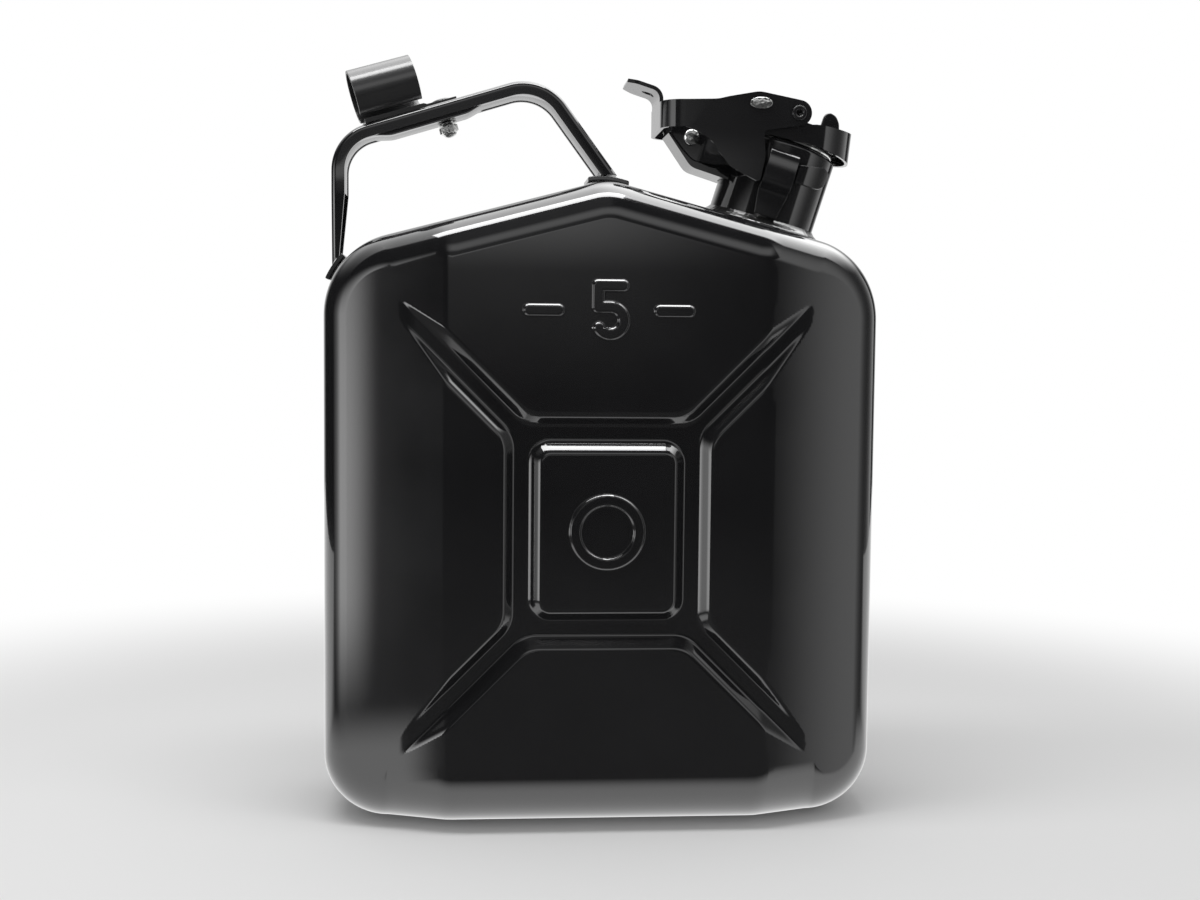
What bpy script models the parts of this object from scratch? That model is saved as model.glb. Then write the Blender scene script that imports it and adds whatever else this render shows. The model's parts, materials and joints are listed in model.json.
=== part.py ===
"""Five-litre sheet-steel jerry can with a cam-lever closure and a welded carrying handle.

Metres. +X is the filler side, -Y the front, +Z up. The origin is on the floor, under the middle
of the tank. The two tank halves meet at Y = 0. The closure is drawn in the neck's own frame: its
origin is where the neck's axis crosses the roof, its Z runs up the neck and its X away from the
handle.
"""
import math

import bmesh
import bpy
from mathutils import Vector
from mathutils.geometry import delaunay_2d_cdt

for old in list(bpy.data.objects):
    bpy.data.objects.remove(old, do_unlink=True)

# Clearances
FIT = 0.0003                # gap kept between pieces that touch
OVERRUN = 0.002             # how far a cutter runs past what it cuts
ROUND_STEPS = 32            # sides of a large turned piece
NOSE_STEPS = 6              # facets round each quarter of the lid's nose
PIN_STEPS = 16              # sides of a pin or rivet
TWIST_LIMIT = math.radians(0.1)     # faces twisted more than this are split

# Tank
TANK_WIDTH = 0.235
TANK_DEPTH = 0.110
PEAK_HEIGHT = 0.2698        # where the two roof planes would meet
ROOF_ANGLE = math.radians(14.8)
DRAFT_ANGLE = math.radians(4.0)
SHEET = 0.0010              # tank sheet
BOTTOM_RADIUS = 0.0288
SHOULDER_RADIUS = 0.0362
PEAK_RADIUS = 0.030
EDGE_RADIUS = 0.016
BOTTOM_EDGE_RADIUS = 0.0270 # rounder where the tank stands
MARK_RELIEF = 0.0006        # how far the embossed marks stand proud
CREASE_X = 0.0645           # where the flat panel folds back to the sides
SIDE_SLOPE = 0.375          # fall of the side facets, depth over width
CORNER_STEPS = 6
PEAK_STEPS = 3
EDGE_STEPS = 4

# Seam groove round the tank
GROOVE_DEPTH = 0.0030
GROOVE_FLOOR_HALF = 0.0028
GROOVE_HALF = 0.0056
GROOVE_STOP_REACH = 0.0390  # the groove starts to run out this far either side of the neck
GROOVE_FLAT_REACH = 0.0310
WELD_HALF = 0.0018
WELD_HEIGHT = 0.0018

# Pressed cross on each face
CHANNEL_DEPTH = 0.0044
RING_CENTRE_Z = 0.1243
RING_HALF_X = 0.0377
RING_HALF_Z = 0.0431
ARM_HALF = 0.00283
ARM_FALL = 0.10             # slope of the channel's floor where it crosses a side facet
CHANNEL_CORNER = 0.014
CHANNEL_STEPS = 3
PLATEAU_HALF_X = 0.0317
PLATEAU_HALF_Z = 0.0367
PLATEAU_CORNER = 0.009

# Level marks beside the numeral
MARK_X = 0.0263
MARK_Z = 0.2136
MARK_LENGTH = 0.0158
MARK_WIDTH = 0.0044
MARK_BEVEL = 0.0008

# Neck
NECK_INSET = 0.0120         # from the shoulder's centre to where the neck's axis meets the roof
NECK_LEAN = math.radians(17.6)
NECK_RADIUS = 0.0228
NECK_WALL = 0.0012
NECK_TOP = 0.0354
NECK_TAIL = 0.0080          # length inside the tank
NECK_LIP_RADIUS = 0.0186
NECK_LIP_ROUND = 0.0018
WELD_RING_REACH = 0.0032
RING_RADIUS = 0.0210        # rolled mouth ring
RING_HEIGHT = 0.0027
RING_ROUND = 0.0009

# Breather tube inside the neck
VENT_RADIUS = 0.0030
VENT_WALL = 0.0008
VENT_TOP = 0.0310
VENT_DROP = 0.0120
VENT_BEND = 0.0100
VENT_REACH = 0.0060

# Latch hooks on the neck's sides
HOOK_U = -0.0024            # on the lever pivot's line
HOOK_HALF = 0.0063
HOOK_FOOT_HALF = 0.0047
HOOK_SHEET = 0.0015
HOOK_FOOT = 0.0025
HOOK_STEP_LOW = 0.0130
HOOK_STEP_HIGH = 0.0165
HOOK_STEP_OUT = 0.0030
HOOK_BEND = 0.0228
HOOK_TOP = 0.0292
WING_LENGTH = math.radians(41.0)
WING_FOOT = 0.0198
WING_HEIGHT = 0.0105

# Hinge bracket and pin
HINGE_U = -0.0410
HINGE_H = 0.0250
BRACKET_HALF = 0.0110
BRACKET_SHEET = 0.0015
BRACKET_FLOOR = 0.0134
BRACKET_KNEE_U = -0.0370
BRACKET_TIP_U = -0.0504
BRACKET_TIP_H = 0.0238
PIN_RADIUS = 0.0026
PIN_HEAD_RADIUS = 0.0034
PIN_HEAD = 0.0015

# Lid
LID_SHEET = 0.0014
TAIL_HALF = 0.0121          # cheek to centre at the hinge, middle of the sheet
LID_HALF = 0.0229           # cheek to centre at the mouth, middle of the sheet
LID_NOSE_U = 0.0048         # centre of the rounded outboard end
LID_NOSE_DRAFT = 0.0026     # how far the nose leans in from its lower to its upper edge
LID_WEB = 0.0431            # underside of the web over the mouth
DISC_SHEET = 0.0010
DISC_RIM = 0.0018
GASKET_BORE = 0.0150
GASKET_INSET = 0.0003
RIVET_RADIUS = 0.0030
RIVET_HEAD_RADIUS = 0.0072
RIVET_HEAD = 0.0028
RIVET_TAIL_RADIUS = 0.0055
RIVET_TAIL = 0.0013
LUG_U = 0.0121
LUG_LENGTH = 0.0086
LUG_HEIGHT = 0.0118
LUG_HALF = 0.0012

# Lever
PIVOT_U = -0.0024
PIVOT_H = 0.0472
LEVER_SHEET = 0.0016
LEVER_HALF = 0.0248         # plate to centre, middle of the sheet
LEVER_REACH = 0.0567        # pivot to the cross wall
LEVER_LIFT = 0.0087         # pivot to the plate's highest point
LEVER_DROP = 0.0291         # pivot to the nose
LEVER_BEND = 0.0090         # plan radius of the corners beside the cross wall
LEVER_LOBE = 0.0050
LEVER_BEND_STEPS = 5
TAB_HALF = 0.0140
TAB_LENGTH = 0.0160
TAB_BEND = 0.0050
TAB_RISE = 0.0014
TAB_CHAMFER = 0.0040
TAB_HOLE = 0.0026
TAB_SLOPE = math.radians(17.6)
PIVOT_SHANK = 0.0022
PIVOT_BORE = 0.0013
PIVOT_FLANGE = 0.0031
PIVOT_FLANGE_SHEET = 0.0007
STUD_REACH = 0.0161         # pivot to the oval stud, along and up
STUD_RISE = 0.0038
STUD_SHANK = 0.0020
STUD_HALF_LONG = 0.0047
STUD_HALF_SHORT = 0.0024
STUD_HEAD = 0.0009

# Handle, along the front upper edge of its channel
HANDLE_LEG_PLACE = math.radians(33.4)       # where the leg stands, round the shoulder
HANDLE_CORNER_RISE = 0.0756 # above the shoulder's centre
HANDLE_CREST_X = -0.0249
HANDLE_CREST_RISE = 0.0438  # above the roof's peak
HANDLE_FOOT_X = 0.0064
HANDLE_LEG_ROUND = 0.020
HANDLE_CREST_ROUND = 0.022
HANDLE_WIDTH = 0.0250
HANDLE_FOOT_WIDTH = 0.0190
HANDLE_SHEET = 0.0018
HANDLE_FLANGE = 0.0056
HANDLE_FOOT_FLANGE = 0.0028
HANDLE_EDGE = 0.0035
HANDLE_ARC_STEPS = 6
HANDLE_TAPER = 0.030        # leg length over which the flange and width taper
PAD_SHEET = 0.0020
PAD_HALF = 0.0105
LEFT_PAD_LOW = math.radians(24.0)
LEFT_PAD_HIGH = math.radians(43.0)
RIGHT_PAD_BACK = 0.0040
RIGHT_PAD_FRONT = 0.0050

# Grip insert that closes the channel, with a tray where the hand goes
INSERT_LEAD = 0.0012        # straight run between the channel's bend and the tray
INSERT_LENGTH = 0.049       # of the tray
INSERT_DEPTH = 0.0072
INSERT_SHEET = 0.0014
INSERT_END = 0.0090
INSERT_LIFT = 0.0010        # above the pad under the right leg

# Spout clip and its bolt
CLIP_RADIUS = 0.0113
CLIP_SHEET = 0.0012
CLIP_LENGTH = 0.0270
CLIP_START = 0.0128
CLIP_RISE = 0.0013          # roll above the tongue
CLIP_TURN = math.radians(322.0)
CLIP_YAW = math.radians(7.0)
CLIP_STEPS = 22
TONGUE_HALF = 0.0070
TONGUE_OVERHANG = 0.0060
BOLT_PLACE = 0.0479         # along the grip from its left corner
BOLT_RADIUS = 0.0020
BOLT_HEAD_RADIUS = 0.0042
BOLT_HEAD = 0.0011
WASHER_RADIUS = 0.0042
WASHER_SHEET = 0.0008
NUT_ACROSS = 0.0070
NUT_HEIGHT = 0.0034
NUT_DOME = 0.0019

# Derived sizes
HALF_WIDTH = TANK_WIDTH / 2
PANEL_DEPTH = TANK_DEPTH / 2 - MARK_RELIEF
FLOOR_DEPTH = PANEL_DEPTH - CHANNEL_DEPTH
ARM_END_X = CREASE_X + CHANNEL_DEPTH / (SIDE_SLOPE - ARM_FALL)
ROOF_SLOPE = math.tan(ROOF_ANGLE)
SHOULDER_X = HALF_WIDTH - SHOULDER_RADIUS
SHOULDER_Z = (PEAK_HEIGHT - ROOF_SLOPE * SHOULDER_X) - SHOULDER_RADIUS / math.cos(ROOF_ANGLE)
PEAK_CENTRE_Z = PEAK_HEIGHT - PEAK_RADIUS / math.cos(ROOF_ANGLE)
NECK_X = SHOULDER_X - NECK_INSET
GROOVE_STOP_IN = NECK_X - GROOVE_STOP_REACH
GROOVE_FLAT_IN = NECK_X - GROOVE_FLAT_REACH
GROOVE_FLAT_OUT = NECK_X + GROOVE_FLAT_REACH
GROOVE_STOP_OUT = NECK_X + GROOVE_STOP_REACH
NECK_ROOT = Vector((NECK_X, 0.0, PEAK_HEIGHT - ROOF_SLOPE * NECK_X))
HINGE = Vector((HINGE_U, 0.0, HINGE_H))
PIVOT = Vector((PIVOT_U, 0.0, PIVOT_H))
SQRT_HALF = math.sqrt(0.5)
LEG_ROUND = SHOULDER_RADIUS + PAD_SHEET + 2 * FIT   # outer face of the left pad, plus the gap
HANDLE_LEG_X = -(SHOULDER_X + LEG_ROUND * math.cos(HANDLE_LEG_PLACE))
HANDLE_CORNER_Z = SHOULDER_Z + HANDLE_CORNER_RISE
HANDLE_CREST_Z = PEAK_HEIGHT + HANDLE_CREST_RISE


def material(name, colour, roughness, metallic):
    """One Principled material."""
    made = bpy.data.materials.new(name)
    made.use_nodes = True
    shader = made.node_tree.nodes["Principled BSDF"]
    shader.inputs["Base Color"].default_value = (*colour, 1.0)
    shader.inputs["Roughness"].default_value = roughness
    shader.inputs["Metallic"].default_value = metallic
    return made


def black_paint(name):
    return material(name + "_paint", (0.012, 0.012, 0.013), 0.22, 0.0)


def zinc(name):
    return material(name + "_zinc", (0.62, 0.62, 0.60), 0.30, 1.0)


def rubber(name):
    return material(name + "_rubber", (0.02, 0.02, 0.02), 0.75, 0.0)


def weld_bead(name):
    return material(name + "_weld", (0.02, 0.02, 0.021), 0.35, 0.0)


def finish_mesh(name, verts, faces, finish, parent=None, origin=None):
    """Makes an object from vertices given in its parent's frame, with its own origin."""
    origin = Vector(origin) if origin is not None else Vector()
    mesh = bpy.data.meshes.new(name)
    mesh.from_pydata([Vector(v) - origin for v in verts], [], faces)
    edit = bmesh.new()
    edit.from_mesh(mesh)
    bmesh.ops.connect_verts_nonplanar(edit, angle_limit=TWIST_LIMIT, faces=edit.faces[:])
    bmesh.ops.recalc_face_normals(edit, faces=edit.faces)
    edit.to_mesh(mesh)
    edit.free()
    mesh.shade_smooth()
    mesh.set_sharp_from_angle(angle=math.radians(35.0))
    piece = bpy.data.objects.new(name, mesh)
    bpy.context.scene.collection.objects.link(piece)
    piece.parent = parent
    piece.location = origin
    if finish is not None:
        mesh.materials.append(finish(name))
    return piece


def frame(name, parent, location, lean=0.0):
    """An empty that carries pieces drawn in its frame."""
    empty = bpy.data.objects.new(name, None)
    bpy.context.scene.collection.objects.link(empty)
    empty.parent = parent
    empty.location = location
    empty.rotation_euler = (0.0, lean, 0.0)
    return empty


def loft(rings, closed_path=False):
    """Faces that join rings of equal length, with caps unless the path closes on itself."""
    count = len(rings[0])
    verts = [v for ring in rings for v in ring]
    faces = []
    spans = len(rings) if closed_path else len(rings) - 1
    for r in range(spans):
        a = r * count
        b = ((r + 1) % len(rings)) * count
        for i in range(count):
            j = (i + 1) % count
            faces.append((a + i, a + j, b + j, b + i))
    if not closed_path:
        faces.append(tuple(range(count)))
        faces.append(tuple(range(len(verts) - count, len(verts))))
    return verts, faces


def turned(name, profile, finish, parent, origin=None, steps=ROUND_STEPS, centre=(0.0, 0.0)):
    """Turns a closed profile of (radius, height) points about a line along the frame's Z."""
    rings = []
    for i in range(steps):
        angle = 2 * math.pi * i / steps
        rings.append([
            (centre[0] + r * math.cos(angle), centre[1] + r * math.sin(angle), h)
            for r, h in profile
        ])
    verts, faces = loft(rings, closed_path=True)
    return finish_mesh(name, verts, faces, finish, parent, origin)


def solid_rod(radius, low, high, centre, steps=PIN_STEPS):
    """A plain rod along Y."""
    rings = []
    for y in (low, high):
        ring = []
        for i in range(steps):
            angle = 2 * math.pi * (i + 0.5) / steps
            x = centre[0] + radius * math.cos(angle)
            ring.append((x, y, centre[2] + radius * math.sin(angle)))
        rings.append(ring)
    return loft(rings)


def upright_rod(radius, low, high, steps=ROUND_STEPS, centre=(0.0, 0.0)):
    """A plain rod along Z."""
    rings = []
    for z in (low, high):
        rings.append([
            (
                centre[0] + radius * math.cos(2 * math.pi * i / steps),
                centre[1] + radius * math.sin(2 * math.pi * i / steps),
                z,
            )
            for i in range(steps)
        ])
    return loft(rings)


def cutter(name, verts_faces, parent=None):
    """A hidden shape that only cuts."""
    piece = finish_mesh(name, verts_faces[0], verts_faces[1], None, parent)
    piece.hide_render = True
    piece.display_type = "WIRE"
    return piece


def boolean(piece, tool, operation="DIFFERENCE"):
    change = piece.modifiers.new(tool.name, "BOOLEAN")
    change.operation = operation
    change.solver = "EXACT"
    change.object = tool


def prism(outline, low, high):
    """An outline of (x, z) points extruded along Y."""
    return loft([[(x, low, z) for x, z in outline], [(x, high, z) for x, z in outline]])


def arc(centre, radius, start, end, steps):
    """Points on a circle in a plane, both ends included."""
    points = []
    for i in range(steps + 1):
        angle = start + (end - start) * i / steps
        points.append((centre[0] + radius * math.cos(angle), centre[1] + radius * math.sin(angle)))
    return points


# Tank outline and depth

def roof_height(x):
    """Height of the tank's top line at Y = 0, without the groove."""
    x = abs(x)
    if x < PEAK_RADIUS * math.sin(ROOF_ANGLE):
        return PEAK_CENTRE_Z + math.sqrt(PEAK_RADIUS ** 2 - x ** 2)
    return PEAK_HEIGHT - ROOF_SLOPE * x


def face_depth(x):
    """Distance from the seam plane to the pressed face, before the cross is pressed in."""
    return PANEL_DEPTH - SIDE_SLOPE * max(0.0, abs(x) - CREASE_X)


def groove_depth(point):
    """Depth of the seam groove, which runs out on the roof beside the neck."""
    x = point[0]
    if point[1] < SHOULDER_Z or x <= GROOVE_STOP_IN or x >= GROOVE_STOP_OUT:
        return GROOVE_DEPTH
    if x < GROOVE_FLAT_IN:
        return GROOVE_DEPTH * (GROOVE_FLAT_IN - x) / (GROOVE_FLAT_IN - GROOVE_STOP_IN)
    if x > GROOVE_FLAT_OUT:
        return GROOVE_DEPTH * (x - GROOVE_FLAT_OUT) / (GROOVE_STOP_OUT - GROOVE_FLAT_OUT)
    return 0.0


def edge_inset():
    """How far the rounded top edge draws the flat panel in from the roof line."""
    turn = math.pi / 2 - DRAFT_ANGLE
    return PANEL_DEPTH * math.tan(DRAFT_ANGLE) + EDGE_RADIUS * math.tan(turn / 2)


def half_outline():
    """Right half of the tank's outline, bottom to peak, as (point, outward normal) pairs."""
    stations = [((0.0, 0.0), (0.0, -1.0)), ((CREASE_X, 0.0), (0.0, -1.0))]
    centre = (HALF_WIDTH - BOTTOM_RADIUS, BOTTOM_RADIUS)
    for point in arc(centre, BOTTOM_RADIUS, -math.pi / 2, 0.0, CORNER_STEPS):
        normal = ((point[0] - centre[0]) / BOTTOM_RADIUS, (point[1] - centre[1]) / BOTTOM_RADIUS)
        stations.append((point, normal))
    stations.append(((HALF_WIDTH, RING_CENTRE_Z), (1.0, 0.0)))
    centre = (SHOULDER_X, SHOULDER_Z)
    for point in arc(centre, SHOULDER_RADIUS, 0.0, math.pi / 2 - ROOF_ANGLE, CORNER_STEPS):
        normal = (
            (point[0] - centre[0]) / SHOULDER_RADIUS,
            (point[1] - centre[1]) / SHOULDER_RADIUS,
        )
        stations.append((point, normal))
    roof_normal = (math.sin(ROOF_ANGLE), math.cos(ROOF_ANGLE))
    crease_on_roof = CREASE_X + roof_normal[0] * edge_inset()
    for x in (crease_on_roof, GROOVE_FLAT_IN, GROOVE_STOP_IN):
        stations.append(((x, PEAK_HEIGHT - ROOF_SLOPE * x), roof_normal))
    centre = (0.0, PEAK_CENTRE_Z)
    for point in arc(centre, PEAK_RADIUS, math.pi / 2 - ROOF_ANGLE, math.pi / 2, PEAK_STEPS)[:-1]:
        normal = (point[0] / PEAK_RADIUS, (point[1] - centre[1]) / PEAK_RADIUS)
        stations.append((point, normal))
    return stations


def full_outline():
    """The whole outline, once round, starting at the middle of the bottom."""
    right = half_outline()
    peak = ((0.0, PEAK_CENTRE_Z + PEAK_RADIUS), (0.0, 1.0))
    left = [((-p[0], p[1]), (-n[0], n[1])) for p, n in reversed(right[1:])]
    return right + [peak] + left


def wall_lean(normal):
    """Inward draft per unit of depth: none on the bottom, which stands flat."""
    return math.tan(DRAFT_ANGLE) * (1.0 - max(0.0, -normal[1]))


def edge_section(point, normal):
    """(inset, depth) steps from the seam, up the wall and round the edge to the face."""
    lean = wall_lean(normal)
    radius = EDGE_RADIUS + (BOTTOM_EDGE_RADIUS - EDGE_RADIUS) * max(0.0, -normal[1])
    on_side = abs(point[0]) - abs(normal[0]) * edge_inset() > CREASE_X + FIT
    base = face_depth(point[0]) if on_side else PANEL_DEPTH
    rise = SIDE_SLOPE * abs(normal[0]) if on_side else 0.0
    corner_depth = base / (1.0 - rise * lean)
    corner = Vector((lean * corner_depth, corner_depth))
    wall = Vector((lean, 1.0)).normalized()
    face = Vector((1.0, rise)).normalized()
    turn = wall.angle(face)
    tangent = radius * math.tan(turn / 2)
    first = corner - wall * tangent
    across = Vector((wall.y, -wall.x))
    centre = first + across * radius
    groove = groove_depth(point)
    steps = [
        (max(groove, lean * FIT / 2), FIT / 2),
        (max(groove, lean * GROOVE_FLOOR_HALF), GROOVE_FLOOR_HALF),
        (lean * GROOVE_HALF, GROOVE_HALF),
    ]
    for i in range(EDGE_STEPS + 1):
        angle = turn * i / EDGE_STEPS
        spoke = -across * math.cos(angle) + wall * math.sin(angle)
        place = centre + spoke * radius
        steps.append((place.x, place.y))
    return steps


# Pressed cross

def floor_depth(x):
    """Distance from the seam plane to the channel's floor."""
    return FLOOR_DEPTH - ARM_FALL * max(0.0, abs(x) - CREASE_X)


def crest_width(x, side):
    """Width of the channel wall beside foot place x, which narrows out on the side facets.

    side is -1 on the top and bottom panels' walls and 1 on the flank panels' walls.
    """
    beyond = abs(x) - CREASE_X
    slope = SIDE_SLOPE - (ARM_FALL if beyond > 0 else 0.0)
    width = (CHANNEL_DEPTH - slope * beyond) / (1.0 + side * SQRT_HALF * SIDE_SLOPE)
    return max(0.0, min(PANEL_DEPTH - floor_depth(x), width))


def cap_half(up):
    """Foot of the top (up = 1) or bottom (up = -1) panel's wall, middle to the right arm's end."""
    corner = (RING_HALF_X - ARM_HALF / SQRT_HALF, RING_CENTRE_Z + up * RING_HALF_Z)
    tangent = CHANNEL_CORNER * math.tan(math.pi / 8)
    centre = (corner[0] - tangent, corner[1] + up * CHANNEL_CORNER)
    stations = []
    for i in range(CHANNEL_STEPS + 1):
        angle = math.pi / 4 * i / CHANNEL_STEPS
        normal = (-math.sin(angle), up * math.cos(angle))
        point = (centre[0] - CHANNEL_CORNER * normal[0], centre[1] - CHANNEL_CORNER * normal[1])
        stations.append((point, normal, CHANNEL_DEPTH))
    normal = (-SQRT_HALF, up * SQRT_HALF)
    folded = CREASE_X + SQRT_HALF * CHANNEL_DEPTH / (1.0 - SQRT_HALF * ARM_FALL)
    for x in (CREASE_X, folded, ARM_END_X):
        point = (x, corner[1] + up * (x - corner[0]))
        stations.append((point, normal, crest_width(x, -1)))
    return stations


def flank_half(up):
    """Foot of the right panel's wall from the ring's side to the arm's end, going up or down."""
    corner = (RING_HALF_X, RING_CENTRE_Z + up * (RING_HALF_Z - ARM_HALF / SQRT_HALF))
    tangent = CHANNEL_CORNER * math.tan(math.pi / 8)
    centre = (corner[0] + CHANNEL_CORNER, corner[1] - up * tangent)
    stations = []
    for i in range(CHANNEL_STEPS + 1):
        angle = math.pi / 4 * i / CHANNEL_STEPS
        normal = (math.cos(angle), -up * math.sin(angle))
        point = (centre[0] - CHANNEL_CORNER * normal[0], centre[1] - CHANNEL_CORNER * normal[1])
        stations.append((point, normal, CHANNEL_DEPTH))
    normal = (SQRT_HALF, -up * SQRT_HALF)
    for x in (CREASE_X - SQRT_HALF * CHANNEL_DEPTH, CREASE_X, ARM_END_X):
        point = (x, corner[1] + up * (x - corner[0]))
        stations.append((point, normal, crest_width(x, 1)))
    return stations


def mirrored(stations):
    return [((-p[0], p[1]), (-n[0], n[1]), w) for p, n, w in reversed(stations)]


def rounded_box(half_x, half_z, radius, steps):
    """A rounded rectangle about the cross's centre."""
    points = []
    for sx, sz, start in ((1, 1, 0), (-1, 1, 1), (-1, -1, 2), (1, -1, 3)):
        centre = (sx * (half_x - radius), RING_CENTRE_Z + sz * (half_z - radius))
        points += arc(centre, radius, start * math.pi / 2, (start + 1) * math.pi / 2, steps)
    return points


def mark_loop(middle, inset):
    """Outline of one level mark."""
    radius = MARK_WIDTH / 2 - inset
    reach = MARK_LENGTH / 2 - MARK_WIDTH / 2
    right = arc((middle + reach, MARK_Z), radius, -math.pi / 2, math.pi / 2, CHANNEL_STEPS)
    left = arc((middle - reach, MARK_Z), radius, math.pi / 2, 3 * math.pi / 2, CHANNEL_STEPS)
    return right + left


class Pattern:
    """Points and edges that the face's triangles must keep."""

    def __init__(self):
        self.points = []
        self.depths = []
        self.edges = []
        self.known = {}

    def add(self, point, depth):
        key = (round(point[0], 7), round(point[1], 7))
        if key not in self.known:
            self.known[key] = len(self.points)
            self.points.append(point)
            self.depths.append(depth)
        return self.known[key]

    def chain(self, ids, closed=False):
        pairs = list(zip(ids, ids[1:]))
        if closed:
            pairs.append((ids[-1], ids[0]))
        self.edges += [pair for pair in pairs if pair[0] != pair[1]]


def press_wall(pattern, stations):
    """Adds a channel wall's foot and crest, and returns the crest's point numbers."""
    foot = [pattern.add(p, floor_depth(p[0])) for p, _, _ in stations]
    crest = []
    for point, normal, width in stations:
        place = (point[0] + normal[0] * width, point[1] + normal[1] * width)
        crest.append(pattern.add(place, floor_depth(point[0]) + width))
    pattern.chain(foot)
    pattern.chain(crest)
    return foot, crest


def press_pattern(boundary):
    """The whole pressed face inside the rounded edge."""
    pattern = Pattern()
    ring = [pattern.add(point, depth) for point, depth in boundary]
    pattern.chain(ring, closed=True)
    creases = {}
    folds = {}
    ends = {}
    for up in (1, -1):
        half = cap_half(up)
        foot, crest = press_wall(pattern, mirrored(half) + half)
        creases[("cap", up, -1)] = crest[1]
        creases[("cap", up, 1)] = crest[-2]
        folds[("cap", up, -1)] = foot[2]
        folds[("cap", up, 1)] = foot[-3]
        ends[("cap", up, -1)] = foot[0]
        ends[("cap", up, 1)] = foot[-1]
    for side in (1, -1):
        up_half = flank_half(1)
        down_half = list(reversed(flank_half(-1)))
        stations = down_half + up_half
        if side < 0:
            stations = [((-p[0], p[1]), (-n[0], n[1]), w) for p, n, w in stations]
        foot, crest = press_wall(pattern, stations)
        creases[("flank", -1, side)] = crest[2]
        creases[("flank", 1, side)] = crest[-3]
        folds[("flank", -1, side)] = foot[1]
        folds[("flank", 1, side)] = foot[-2]
        ends[("flank", -1, side)] = foot[0]
        ends[("flank", 1, side)] = foot[-1]
        for up in (1, -1):
            for across in (folds, ends):
                pattern.chain([across[("cap", up, side)], across[("flank", up, side)]])
        pattern.chain([creases[("flank", -1, side)], creases[("flank", 1, side)]])
    for side in (1, -1):
        for up in (1, -1):
            near = [i for i in ring if abs(pattern.points[i][0] - side * CREASE_X) < FIT]
            rim = max(near, key=lambda i: up * pattern.points[i][1])
            pattern.chain([creases[("cap", up, side)], rim])
    for inset, depth in ((0.0, FLOOR_DEPTH), (CHANNEL_DEPTH, PANEL_DEPTH)):
        loop = rounded_box(
            PLATEAU_HALF_X - inset, PLATEAU_HALF_Z - inset, PLATEAU_CORNER - inset, CHANNEL_STEPS
        )
        pattern.chain([pattern.add(p, depth) for p in loop], closed=True)
    for middle in (MARK_X, -MARK_X):
        for inset, depth in ((0.0, PANEL_DEPTH), (MARK_BEVEL, PANEL_DEPTH + MARK_RELIEF)):
            loop = mark_loop(middle, inset)
            pattern.chain([pattern.add(p, depth) for p in loop], closed=True)
    return pattern, ring


def tank_shell(name, facing):
    """One pressed half of the tank: facing is -1 for the front half and 1 for the rear."""
    stations = full_outline()
    sections = [edge_section(p, n) for p, n in stations]
    levels = len(sections[0])
    count = len(stations)
    verts = []
    for level in range(levels):
        for (point, normal), section in zip(stations, sections):
            inset, depth = section[level]
            verts.append((
                point[0] - normal[0] * inset,
                facing * depth,
                point[1] - normal[1] * inset,
            ))
    faces = []
    for level in range(levels - 1):
        for i in range(count):
            j = (i + 1) % count
            a = level * count
            b = a + count
            faces.append((a + i, a + j, b + j, b + i))
    rim = verts[(levels - 1) * count:]
    pattern, ring = press_pattern([((v[0], v[2]), abs(v[1])) for v in rim])
    places = [Vector(p) for p in pattern.points]
    outcome = delaunay_2d_cdt(places, pattern.edges, [ring], 1, 1e-7, True)
    flat, triangles, sources, owners = outcome[0], outcome[2], outcome[3], outcome[5]
    numbers = []
    for place, source in zip(flat, sources):
        first = source[0] if source else None
        if first is not None and first < count:
            numbers.append((levels - 1) * count + first)
            continue
        depth = pattern.depths[first] if first is not None else face_depth(place.x)
        numbers.append(len(verts))
        verts.append((place.x, facing * depth, place.y))
    for triangle, inside in zip(triangles, owners):
        if inside:
            faces.append(tuple(numbers[i] for i in triangle))
    piece = finish_mesh(name, verts, faces, black_paint)
    outward = sum(
        (p.normal.y * p.area for p in piece.data.polygons), 0.0
    ) * facing
    if outward < 0:
        piece.data.flip_normals()
    wall = piece.modifiers.new("sheet", "SOLIDIFY")
    wall.thickness = SHEET
    wall.offset = -1.0
    wall.use_even_offset = True
    return piece


def seam_weld():
    """The bead in the groove, open where the neck stands."""
    stations = full_outline()
    start = next(i for i, s in enumerate(stations) if groove_depth(s[0]) < FIT)
    ordered = stations[start:] + stations[:start]
    chosen = [s for s in ordered if groove_depth(s[0]) > GROOVE_DEPTH - FIT]
    low = GROOVE_DEPTH - FIT
    high = low - WELD_HEIGHT
    section = (
        (low, -WELD_HALF),
        ((low + high) / 2, -WELD_HALF * SQRT_HALF),
        (high, 0.0),
        ((low + high) / 2, WELD_HALF * SQRT_HALF),
        (low, WELD_HALF),
    )
    rings = []
    for point, normal in chosen:
        rings.append([
            (point[0] - normal[0] * inset, y, point[1] - normal[1] * inset)
            for inset, y in section
        ])
    verts, faces = loft(rings)
    return finish_mesh("seam_weld", verts, faces, weld_bead)


# Neck

def roof_under_neck(u, y):
    """Height of the roof below a place beside the neck, in the neck's frame."""
    tilt = NECK_LEAN - ROOF_ANGLE
    return (u * math.sin(tilt) - abs(y) * math.tan(DRAFT_ANGLE)) / math.cos(tilt)


def neck_tube(parent):
    inner = NECK_RADIUS - NECK_WALL
    shoulder = NECK_TOP - NECK_LIP_ROUND
    profile = [
        (NECK_RADIUS, -NECK_TAIL),
        (NECK_RADIUS, shoulder),
        (NECK_RADIUS - NECK_LIP_ROUND / 2, NECK_TOP - NECK_LIP_ROUND / 4),
        (NECK_RADIUS - NECK_LIP_ROUND, NECK_TOP),
        (NECK_LIP_RADIUS, NECK_TOP),
        (NECK_LIP_RADIUS, NECK_TOP - NECK_WALL),
        (inner, shoulder - NECK_WALL / 2),
        (inner, -NECK_TAIL),
    ]
    return turned("neck_tube", profile, black_paint, parent)


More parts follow.
